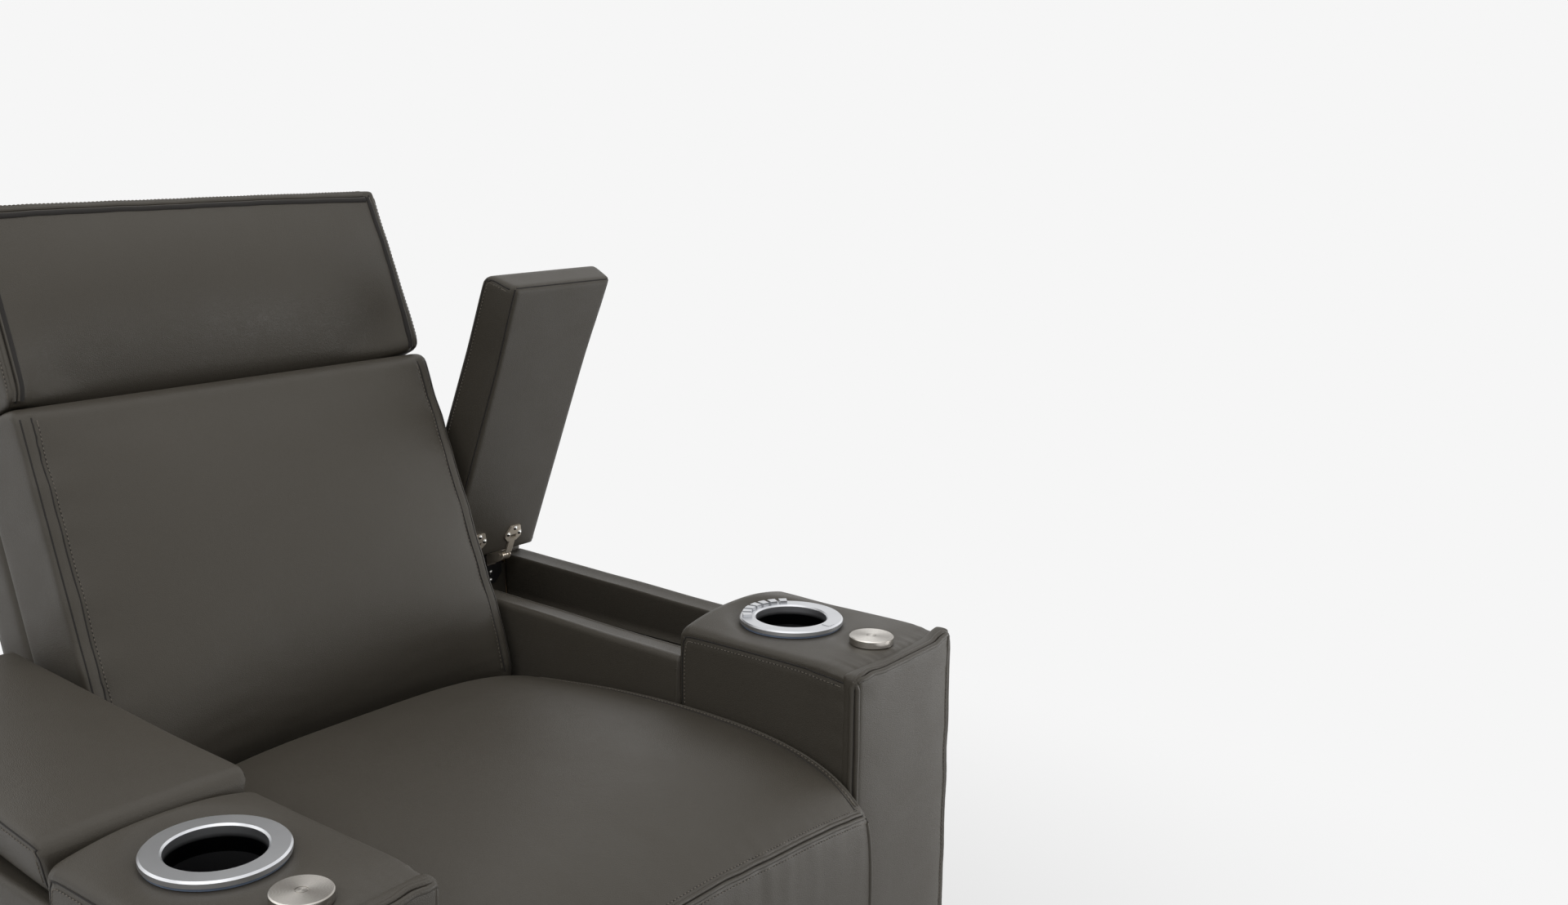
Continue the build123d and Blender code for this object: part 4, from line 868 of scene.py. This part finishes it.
def lid():
    """The right lid, level."""
    bottom = (arm_in + LID_SIDE, LID_FRONT, LID_LOW)
    top = (arm_out - LID_SIDE, LID_REAR, LID_LOW + TIP_THICK)
    rounds = [((0.0, -1.0, 9.0), 0.014), ((0.0, 1.0, 9.0), 0.012)]
    shape = padded_block(bottom, top, radius=0.005, steps=(0.0075, 0.0075, 0.006), rounds=rounds)
    for vert in shape.verts:
        across = (vert.co.x - arm_mid) / (arm_half - LID_SIDE)
        back = (vert.co.y - LID_FRONT) / (LID_REAR - LID_FRONT)
        up = (vert.co.z - LID_LOW) / TIP_THICK
        soft = LID_CROWN * (1.0 - across**4) * (1.0 - abs(2.0 * back - 1.0) ** 5) * ramp(up, 0.75, 1.0)
        bow = LID_BOW * (1.0 - (2.0 * up - 1.0) ** 2) * ramp(abs(across), 0.9, 1.0)
        thicker = 1.0 + back * (REAR_THICK / TIP_THICK - 1.0)
        vert.co.z = LID_LOW + (vert.co.z - LID_LOW) * thicker + soft
        vert.co.z += 0.0006 * ripple(vert.co, 12.0, 9.0) * ramp(up, 0.5, 1.0)
        bow += 0.0006 * ripple(vert.co, 9.0, 1.0)
        vert.co.x += math.copysign(bow, across) * ramp(abs(across), 0.9, 1.0)
        flare = LID_FLARE * (1.0 - ramp(back, 0.0, 0.3))
        vert.co.x += across * (flare - 0.001 - LID_TUCK * (1.0 - clamped(up)))
    return softened(shape)


lid_cover = Cover(lid())
LID_SEAM = [
    (LID_FRONT + 0.003, LID_LOW + 0.006), (LID_FRONT + 0.003, LID_LOW + 0.03),
    (LID_FRONT + 0.009, LID_LOW + 0.039), (LID_FRONT + 0.02, LID_LOW + 0.0435),
    ((LID_FRONT + LID_REAR) / 2, LID_LOW + 0.049), (LID_REAR - 0.02, LID_LOW + 0.0515),
    (LID_REAR - 0.006, LID_LOW + 0.044), (LID_REAR - 0.004, LID_LOW + 0.01),
]
for x, way in ((arm_in + LID_SIDE - 0.004, 1.0), (arm_out - LID_SIDE + 0.004, -1.0)):
    lid_cover.sew(side_line(x, LID_SEAM), stitches=(way * 0.0042,), depth=0.001)
    x += way * LID_TUCK
    lower = [(x, LID_FRONT + 0.002, LID_LOW), (x + way * 0.003, LID_FRONT + 0.13, LID_LOW)]
    lower += [(x + way * 0.004, LID_REAR - 0.004, LID_LOW)]
    lid_cover.sew(lower)
tip_y = LID_FRONT - 0.001
lid_cover.sew([(arm_in + LID_TUCK, tip_y, LID_LOW), (arm_out - LID_TUCK, tip_y, LID_LOW)])


def swung(angle):
    return Matrix.Translation(HINGE) @ Matrix.Rotation(angle, 4, "X") @ Matrix.Translation(-HINGE)


lid_cover.sewn(
    "lid_leather_right", "lid_right", ["lid_pad_right", "lid_board_right"],
    turn=swung(WALL_SLOPE + LID_SWING), fill=FOAM_FILL,
)
lid_cover.sewn(
    "lid_leather_left", "lid_left", ["lid_pad_left", "lid_board_left"],
    turn=swung(WALL_SLOPE), mirrored=True, fill=FOAM_FILL,
)

# Seat: a deep foam cushion on webbing. Its top is crowned and falls over the front to a welt, with a
# padded border below, and a felled seam runs down each side. The cover is blown up as cloth over foam.
seat_low, seat_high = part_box("seat_cushion")
SEAT_HALF = seat_high.x
SEAT_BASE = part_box("seat_webbing")[1].z
SEAT_TOP = 0.5
SEAT_AHEAD = 0.016
SEAT_REAR = 0.458
SEAT_MIDDLE = [(-SEAT_AHEAD, 0.489), (0.02, 0.515), (0.06, 0.535), (0.1, 0.5435), (0.2, 0.55)]
SEAT_MIDDLE += [(0.28, 0.551), (0.37, 0.548), (SEAT_REAR, 0.54)]
SEAT_SIDE = [(-SEAT_AHEAD, 0.468), (0.014, 0.495), (0.05, 0.511), (0.103, 0.522), (0.1585, 0.5265)]
SEAT_SIDE += [(0.24, 0.527), (0.326, 0.522), (0.404, 0.513), (SEAT_REAR, 0.506)]
SEAT_FELL_X = 0.2655
SEAT_FELL = [(0.45, 0.515), (0.326, 0.53), (0.24, 0.535), (0.1585, 0.534)]
SEAT_FELL += [(0.103, 0.529), (0.05, 0.518), (0.014, 0.502), (-0.012, 0.48)]
BORDER_X = 0.277
BORDER_BELLY = 0.007
PRESSURE = 4.0
CLOTH_FRAMES = 20
STRETCH_STIFFNESS = 30.0
BEND_STIFFNESS = 4.0


def through(stops, place):
    """Height at a place on a smooth line through (place, height) stops."""
    n = max(0, min(len(stops) - 2, sum(stop[0] <= place for stop in stops) - 1))
    (start, lower), (end, upper) = stops[n], stops[n + 1]
    before = stops[max(n - 1, 0)]
    after = stops[min(n + 2, len(stops) - 1)]
    t = clamped((place - start) / (end - start))
    leave = (upper - before[1]) / (end - before[0]) * (end - start)
    arrive = (after[1] - lower) / (after[0] - start) * (end - start)
    steady = lower * (1.0 + 2.0 * t) * (1.0 - t) ** 2 + upper * t * t * (3.0 - 2.0 * t)
    return steady + leave * t * (1.0 - t) ** 2 - arrive * t * t * (1.0 - t)


def puffed(shape, cap, grip):
    """The cover blown up as cloth by up to cap. Grip, 0 to 1, says how firmly each place is held."""
    held = [grip(vert.co) for vert in shape.verts]
    shape.normal_update()
    mesh = bpy.data.meshes.new("cloth")
    shape.to_mesh(mesh)
    holder = bpy.data.objects.new("cloth", mesh)
    bpy.context.scene.collection.objects.link(holder)
    group = holder.vertex_groups.new(name="held")
    for n, hold in enumerate(held):
        group.add([n], hold, "REPLACE")
    cloth = holder.modifiers.new("cloth", "CLOTH")
    cloth.settings.use_pressure = True
    cloth.settings.uniform_pressure_force = PRESSURE
    cloth.settings.effector_weights.gravity = 0.0
    cloth.settings.vertex_group_mass = "held"
    cloth.settings.tension_stiffness = STRETCH_STIFFNESS
    cloth.settings.compression_stiffness = STRETCH_STIFFNESS
    cloth.settings.bending_stiffness = BEND_STIFFNESS
    cloth.collision_settings.use_collision = False
    for n in range(1, CLOTH_FRAMES + 1):
        bpy.context.scene.frame_set(n)
    blown = holder.evaluated_get(bpy.context.evaluated_depsgraph_get()).to_mesh()
    for vert, after in zip(shape.verts, blown.vertices):
        shift = after.co - vert.co
        if shift.length > 1e-9:
            vert.co += shift.normalized() * cap * math.tanh(shift.length / cap)
    bpy.data.objects.remove(holder)
    bpy.data.meshes.remove(mesh)
    bpy.context.scene.frame_set(1)
    return shape


def seat():
    bottom = (-SEAT_HALF, FRONT - SEAT_AHEAD, SEAT_BASE)
    top = (SEAT_HALF, FRONT + SEAT_REAR, SEAT_TOP)
    shape = padded_block(bottom, top, radius=0.005, steps=(0.008, 0.008, 0.008))
    for vert in shape.verts:
        back = vert.co.y - FRONT
        across = abs(vert.co.x) / SEAT_HALF
        up = (vert.co.z - SEAT_BASE) / (SEAT_TOP - SEAT_BASE)
        side = through(SEAT_SIDE, back)
        crest = side + (through(SEAT_MIDDLE, back) - side) * (1.0 - min(across, 1.0) ** 3.5)
        apron = (SEAT_BASE - seat_low.z) * (1.0 - ramp(back, -0.012, 0.004))
        base = SEAT_BASE - apron
        vert.co.z = base + (crest - base) * up
        belly = BORDER_BELLY * (1.0 - ramp(back, -0.014, 0.004))
        vert.co.y -= belly * math.sin(math.pi * clamped(up)) ** 0.6
    return shape


def seat_grip(place):
    back = place.y - FRONT
    sides = ramp(abs(place.x), SEAT_HALF - 0.03, SEAT_HALF - 0.004)
    rear = ramp(back, 0.43, 0.457)
    below = 1.0 - ramp(place.z, 0.4, SEAT_TOP)
    ahead = 0.7 * (1.0 - ramp(back, -SEAT_AHEAD, 0.03))
    return max(sides, rear, below, ahead)


seat_cover = Cover(softened(puffed(seat(), cap=0.011, grip=seat_grip)))
WELT_Y = FRONT - 0.0155
welt = [(-BORDER_X, WELT_Y, 0.472), (-0.19, WELT_Y, 0.4806)]
welt += [(-0.11, WELT_Y, 0.485), (0.0, WELT_Y, 0.4905)]
welt += [(-x, y, z) for x, y, z in reversed(welt[:-1])]
border = [(x, y - 0.008, z - 0.03) for x, y, z in welt]
seat_cover.gather(border, reach=0.05, depth=0.0012, pitch=0.02)
seat_cover.gather(welt, reach=0.02, depth=0.0008, pitch=0.012)
for way in (-1.0, 1.0):
    fell = [(way * SEAT_FELL_X, FRONT + back, z) for back, z in SEAT_FELL]
    seat_cover.sew(fell, stitches=(way * STITCH_ASIDE,), depth=0.0018)
    seat_cover.tube(seat_cover.rolls, fell, radius=0.0017, aside=way * 0.0095)
    upright = [(FRONT - SEAT_AHEAD, 0.468), (FRONT - 0.02, 0.4), (FRONT - SEAT_AHEAD, 0.33)]
    seat_cover.sew(side_line(way * BORDER_X, upright), stitches=(way * 0.007,), lips=0.0028)
seat_cover.sew(welt, stitches=(0.0075, -0.0075), lips=0.0023, depth=0.002)
seat_cover.sewn("seat_leather", "chair", ["seat_cushion"], fill=FOAM_FILL)

# Back: a thick cushion between the arms, fullest low down, with a felled seam down each side. Its
# cover is blown up as cloth, like the seat's. Its board leans on the side plates' pivots.
BACK_LEAN = math.radians(22.7)
BACK_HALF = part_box("back_cushion")[1].x
BACK_SEAM = 0.252
BACK_STRIP = 0.0125
BACK_DEPTH = 0.0995
BACK_LOW = -0.02
BACK_HIGH = 0.411
BACK_SWELL = 0.022
BACK_TUCK = 0.034
BACK_CROWN = 0.0042
BACK_HELD = 0.06
back_place = Matrix.Translation((0.0, FRONT + 0.479, 0.512)) @ Matrix.Rotation(-BACK_LEAN, 4, "X")


def back():
    bottom = (-BACK_HALF, 0.0, BACK_LOW)
    top = (BACK_HALF, BACK_DEPTH, BACK_HIGH)
    rounds = [((0.0, -9.0, -9.0), 0.045), ((0.0, -9.0, 9.0), 0.014)]
    shape = padded_block(bottom, top, radius=0.008, steps=(0.009, 0.009, 0.009), rounds=rounds)
    for vert in shape.verts:
        across = min(abs(vert.co.x) / BACK_SEAM, 1.0)
        up = (vert.co.z - BACK_LOW) / (BACK_HIGH - BACK_LOW)
        swell = (1.0 - across**5) * math.sin(math.pi * min(max(up, 0.001), 0.999) ** 0.8) ** 0.7
        tuck = BACK_TUCK * (1.0 - 0.8 * across**4) * (1.0 - ramp(up, 0.0, 0.36)) ** 2
        crown = BACK_CROWN * ramp(vert.co.y, 0.0, 0.03) * (1.0 - ramp(vert.co.y, 0.085, BACK_DEPTH))
        vert.co.z += crown * ramp(up, 0.9, 1.0)
        vert.co.y -= (BACK_SWELL * swell - tuck) * max(1.0 - vert.co.y / BACK_DEPTH, 0.0)
    return shape


def back_grip(place):
    sides = ramp(abs(place.x), BACK_SEAM - 0.03, BACK_SEAM)
    rear = ramp(place.y, 0.01, 0.04)
    above = ramp(place.z, BACK_HIGH - BACK_HELD, BACK_HIGH)
    below = 1.0 - ramp(place.z, BACK_LOW, BACK_LOW + BACK_HELD)
    return max(sides, rear, above, below)


back_cover = Cover(softened(puffed(back(), cap=0.012, grip=back_grip)))
for way in (-1.0, 1.0):
    x = way * BACK_SEAM
    fell = side_line(x, [(0.0, BACK_HIGH - 0.01), (0.0, 0.3), (0.0, 0.2), (0.0, 0.1), (0.006, 0.0)])
    back_cover.gather(fell, reach=0.03, depth=0.0022, pitch=0.035)
    back_cover.sew(fell, stitches=(way * -STITCH_ASIDE,), depth=0.002)
    back_cover.sew([(x + way * BACK_STRIP, y, z) for x, y, z in fell], depth=0.001)
for z, deep in ((0.03, 0.0016), (0.055, 0.0013), (0.085, 0.0009)):
    fold = [(-0.24, -0.002, z - 0.02), (-0.12, -0.01, z + 0.004)]
    fold += [(0.0, -0.012, z), (0.24, -0.004, z + 0.012)]
    back_cover.gather(fold, reach=0.01, depth=deep, pitch=0.09)
back_cover.sewn("back_leather", "back", ["back_cushion"], turn=back_place, fill=FOAM_FILL)

# Outside back: leather drawn over a thin foam and board behind the back cushion, with a rolled seam
# round its rear edge. The headrest's outside is made in the same way.
PANEL_BELLY = 0.006
PANEL_ROLL = 0.0018


def rolled_panel(bottom, top, radius):
    """Leather panel that bellies out behind, with a seam round its rear edge."""
    bottom = Vector(bottom)
    top = Vector(top)
    shape = padded_block(bottom, top, radius, steps=(0.014, 0.014, 0.014))
    for vert in shape.verts:
        across = vert.co.x / top.x
        up = (2.0 * vert.co.z - bottom.z - top.z) / (top.z - bottom.z)
        behind = (vert.co.y - bottom.y) / (top.y - bottom.y)
        vert.co.y += behind * (PANEL_BELLY * (1.0 - across**4) * (1.0 - up**4) - PANEL_BELLY)
        vert.co.y += behind * 0.0008 * ripple(vert.co, 6.0, 3.0)
    panel = Cover(softened(shape))
    x = top.x - radius / 3
    z_low = bottom.z + radius / 3
    z_high = top.z - radius / 3
    y = top.y - PANEL_BELLY - radius / 3
    edge = [(-x, y, z_low), (-x, y, z_high), (x, y, z_high), (x, y, z_low), (-x, y, z_low)]
    for start, end in zip(edge, edge[1:]):
        panel.sew([start, end], stitches=(STITCH_ASIDE,), lips=PANEL_ROLL)
    return panel


outside = rolled_panel((-0.267, 0.1005, -0.04), (0.267, 0.172, 0.402), radius=0.012)
outside.sewn("back_outside_leather", "back", ["back_shell"], turn=back_place)

# Headrest: a thick slab cushion on its own board, tilting on two curved straps. A raised welt, with a
# dark tube of painted shade on its outer side and stitches inside it, runs over the top and down both
# sides, and the cover, blown up as cloth, rolls under at the bottom.
HEAD_LEAN = math.radians(24.0)
HEAD_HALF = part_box("headrest_cushion")[1].x
HEAD_DEPTH = 0.1135
HEAD_LOW = 0.0005
HEAD_HIGH = 0.212
HEAD_SWELL = 0.014
HEAD_ROLL = 0.042
WELT_IN = 0.0085
WELT_SHADE_RADIUS = 0.0036
WELT_SHADE_ASIDE = 0.0045
head_place = Matrix.Translation((0.0, FRONT + 0.642, 0.895)) @ Matrix.Rotation(-HEAD_LEAN, 4, "X")


def headrest():
    bottom = (-HEAD_HALF, 0.0, HEAD_LOW)
    top = (HEAD_HALF, HEAD_DEPTH, HEAD_HIGH)
    rounds = [((0.0, -9.0, -9.0), 0.014)]
    shape = padded_block(bottom, top, radius=0.007, steps=(0.0085, 0.0085, 0.0085), rounds=rounds)
    for vert in shape.verts:
        across = vert.co.x / HEAD_HALF
        up = (vert.co.z - HEAD_LOW) / (HEAD_HIGH - HEAD_LOW)
        swell = (1.0 - across**4) * math.sin(math.pi * min(max(up, 0.001), 0.999) ** 1.2) ** 0.8
        inside = max(1.0 - (across / 0.94) ** 6, 0.0)
        shift = HEAD_SWELL * swell - HEAD_ROLL * inside * (1.0 - ramp(up, -0.05, 0.72)) ** 2
        vert.co.y -= shift * max(1.0 - vert.co.y / HEAD_DEPTH, 0.0)
    return shape


def head_grip(place):
    sides = ramp(abs(place.x), HEAD_HALF - 0.03, HEAD_HALF - 0.005)
    rear = ramp(place.y, 0.02, 0.06)
    above = ramp(place.z, HEAD_HIGH - 0.04, HEAD_HIGH - 0.004)
    return max(sides, rear, above)


head_cover = Cover(softened(puffed(headrest(), cap=0.01, grip=head_grip)))


def head_welt(stops, way):
    """The welt along one edge of the headrest, with its stitches on the way's side and painted shade on
    the other.
    """
    head_cover.gather(stops, reach=0.02, depth=0.0009, pitch=0.03)
    head_cover.sew(stops, stitches=(way * WELT_IN,), lips=0.003, depth=0.003)
    # Painted shade: a dark tube along the welt's outer side.
    head_cover.tube(head_cover.painted_shade_lines, stops, WELT_SHADE_RADIUS, aside=-way * WELT_SHADE_ASIDE, sunk=0.2)


x = HEAD_HALF - WELT_IN
y = -0.003
z = HEAD_HIGH - WELT_IN
head_welt([(-x + 0.004, y, z), (0.0, y, z), (x - 0.004, y, z)], 1.0)
HEAD_SIDE = [(y, z), (y, 0.15), (y, 0.08), (-0.002, 0.03), (0.0, 0.012), (0.012, 0.0)]
for way in (-1.0, 1.0):
    head_welt(side_line(way * x, HEAD_SIDE), way)
head_cover.sewn("headrest_leather", "headrest", ["headrest_cushion"], turn=head_place, fill=FOAM_FILL)
outside = rolled_panel((-0.265, 0.1145, 0.002), (0.265, 0.15, 0.205), radius=0.009)
outside.sewn("headrest_outside_leather", "headrest", ["headrest_shell"], turn=head_place)

# Footrest: a padded panel that hangs folded below the seat's border, on its own board. It has a welt
# round its front edge with a row of stitches inside it, and its cover is blown up as cloth.
foot_low, foot_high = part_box("footrest_pad")
FOOT_INSET = 0.016
FOOT_BELLY = 0.01
FOOT_HELD = 0.03
FOOT_FIRM = 0.006
FOOT_WELT = 0.002


def footrest():
    bottom = (foot_low.x, foot_low.y + FOOT_INSET, foot_low.z)
    shape = padded_block(bottom, foot_high, radius=0.008, steps=(0.009, 0.009, 0.009))
    for vert in shape.verts:
        across = vert.co.x / foot_high.x
        up = (2.0 * vert.co.z - foot_low.z - foot_high.z) / (foot_high.z - foot_low.z)
        ahead = (foot_high.y - vert.co.y) / (foot_high.y - foot_low.y - FOOT_INSET)
        vert.co.y -= FOOT_BELLY * max(ahead, 0.0) * (1.0 - across**4) * (1.0 - up**4)
    return shape


def foot_grip(place):
    sides = ramp(abs(place.x), foot_high.x - FOOT_HELD, foot_high.x - FOOT_FIRM)
    rear = ramp(place.y, foot_low.y + 0.03, foot_low.y + 0.05)
    above = ramp(place.z, foot_high.z - FOOT_HELD, foot_high.z - FOOT_FIRM)
    below = 1.0 - ramp(place.z, foot_low.z + FOOT_FIRM, foot_low.z + FOOT_HELD)
    return max(sides, rear, above, below)


foot_cover = Cover(softened(puffed(footrest(), cap=0.008, grip=foot_grip)))
x = foot_high.x - FOOT_WELT
y = foot_low.y + 0.018
z_low = foot_low.z + FOOT_WELT
z_high = foot_high.z - FOOT_WELT
corners = [(-x, y, z_low), (-x, y, z_high), (x, y, z_high), (x, y, z_low)]
for start, end in zip(corners, corners[1:] + corners[:1]):
    foot_cover.sew([start, end], stitches=(STITCH_ASIDE,), lips=FOOT_WELT)
foot_cover.sewn("footrest_leather", "footrest", ["footrest_pad"], fill=FOAM_FILL)

# Rear panel: leather over board, closing the base behind the mechanism. It is stapled on from below,
# so no seam shows on it.
rear_low, rear_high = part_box("rear_panel")
panel = padded_block(rear_low, rear_high, radius=0.003, steps=(0.03, 0.03, 0.03), segments=2)
Cover(panel).sewn("rear_panel_leather", "chair", ["rear_panel"])

# Studio: a pale floor and world, and five soft boxes in front, above, behind and on both sides.
# The floor and the world show as near white, and light the chair only weakly.
PALE = 0.922
FILL = 0.3
SHADOW_NEAR = 0.6
SHADOW_END = 1.9
NEAR_GLOW = 0.72
FLOOR_REACH = 30.0


def seen_directly(finish):
    """1 for rays from the camera, mirrors and glass, and 0 for the light that falls on the chair."""
    camera = finish.node("LightPath", output="Is Camera Ray")
    glossy = finish.node("LightPath", output="Is Glossy Ray")
    passing = finish.node("LightPath", output="Is Transmission Ray")
    return finish.node("Math", {"operation": "MINIMUM"}, {0: camera + glossy + passing, 1: 1.0})


def pale_floor():
    floor = Finish("pale_floor")
    lit = floor.node("BsdfDiffuse", sockets={"Color": coloured(0.8, 0.8, 0.8)})
    dim = floor.node("BsdfDiffuse", sockets={"Color": coloured(0.2, 0.2, 0.2)})
    glow = floor.node("Emission", sockets={"Color": coloured(PALE, PALE, PALE), "Strength": 1.0})
    away = floor.node("VectorMath", {"operation": "LENGTH"}, {0: floor.place()}, output="Value")
    fade = {0: away, 1: SHADOW_NEAR, 2: SHADOW_END, 3: NEAR_GLOW, 4: 1.0}
    far = floor.node("MapRange", {"interpolation_type": "SMOOTHSTEP"}, fade)
    shown = floor.node("MixShader", sockets={0: far, 1: lit, 2: glow})
    return floor.shown(floor.node("MixShader", sockets={0: seen_directly(floor), 1: dim, 2: shown}))


ground = bmesh.new()
bmesh.ops.create_grid(ground, x_segments=1, y_segments=1, size=FLOOR_REACH)
mesh = bpy.data.meshes.new("floor")
ground.to_mesh(mesh)
ground.free()
mesh.materials.append(pale_floor())
floor = bpy.data.objects.new("floor", mesh)
bpy.context.scene.collection.objects.link(floor)


def soft_box(name, place, aim, size, power):
    lamp = bpy.data.lights.new(name, "AREA")
    lamp.shape = "RECTANGLE"
    lamp.size, lamp.size_y = size
    lamp.energy = power
    holder = bpy.data.objects.new(name, lamp)
    holder.location = place
    holder.rotation_euler = (Vector(aim) - Vector(place)).to_track_quat("-Z", "Y").to_euler()
    holder.visible_camera = False
    bpy.context.scene.collection.objects.link(holder)


soft_box("front_box", (1.3, -1.3, 0.5), aim=(0.3, -0.3, 0.35), size=(0.8, 0.6), power=6.2)
soft_box("right_box", (2.4, -0.4, 1.7), aim=(0.0, -0.1, 0.5), size=(1.4, 1.4), power=2.2)
soft_box("left_box", (-1.6, -0.7, 2.2), aim=(0.0, -0.2, 0.5), size=(1.4, 1.4), power=8.5)
soft_box("top_box", (0.0, -0.5, 2.8), aim=(0.0, -0.2, 0.5), size=(2.2, 1.8), power=7.5)
soft_box("rear_box", (-1.8, 1.4, 2.0), aim=(-0.2, -0.1, 0.5), size=(1.4, 1.4), power=4.0)

world = bpy.data.worlds.new("studio")
world.use_nodes = True
bpy.context.scene.world = world
sky = Finish("studio", world.node_tree)
backdrop = world.node_tree.nodes["Background"]
backdrop.inputs["Color"].default_value = coloured(1.0, 1.0, 1.0)
shown = FILL + (PALE - FILL) * seen_directly(sky)
world.node_tree.links.new(shown.output, backdrop.inputs["Strength"])
bpy.context.scene.view_settings.view_transform = "Standard"

# Camera: in front and to the left of the chair, above the arms, at the photograph's angle. Its lens and
# shift come from a camera fitted to the photograph's edges and circles.
lens = bpy.data.cameras.new("camera")
lens.sensor_width = 36.0
lens.lens = 35.88
lens.shift_x = 0.083
lens.shift_y = -0.0385
camera = bpy.data.objects.new("camera", lens)
HEADING = math.radians(49.5)
PITCH = math.radians(9.6)
camera.location = (-1.0114, FRONT - 0.828, 1.1649)
level = math.cos(PITCH)
look = Vector((math.sin(HEADING) * level, math.cos(HEADING) * level, -math.sin(PITCH)))
camera.rotation_euler = look.to_track_quat("-Z", "Y").to_euler()
bpy.context.scene.collection.objects.link(camera)
bpy.context.scene.camera = camera
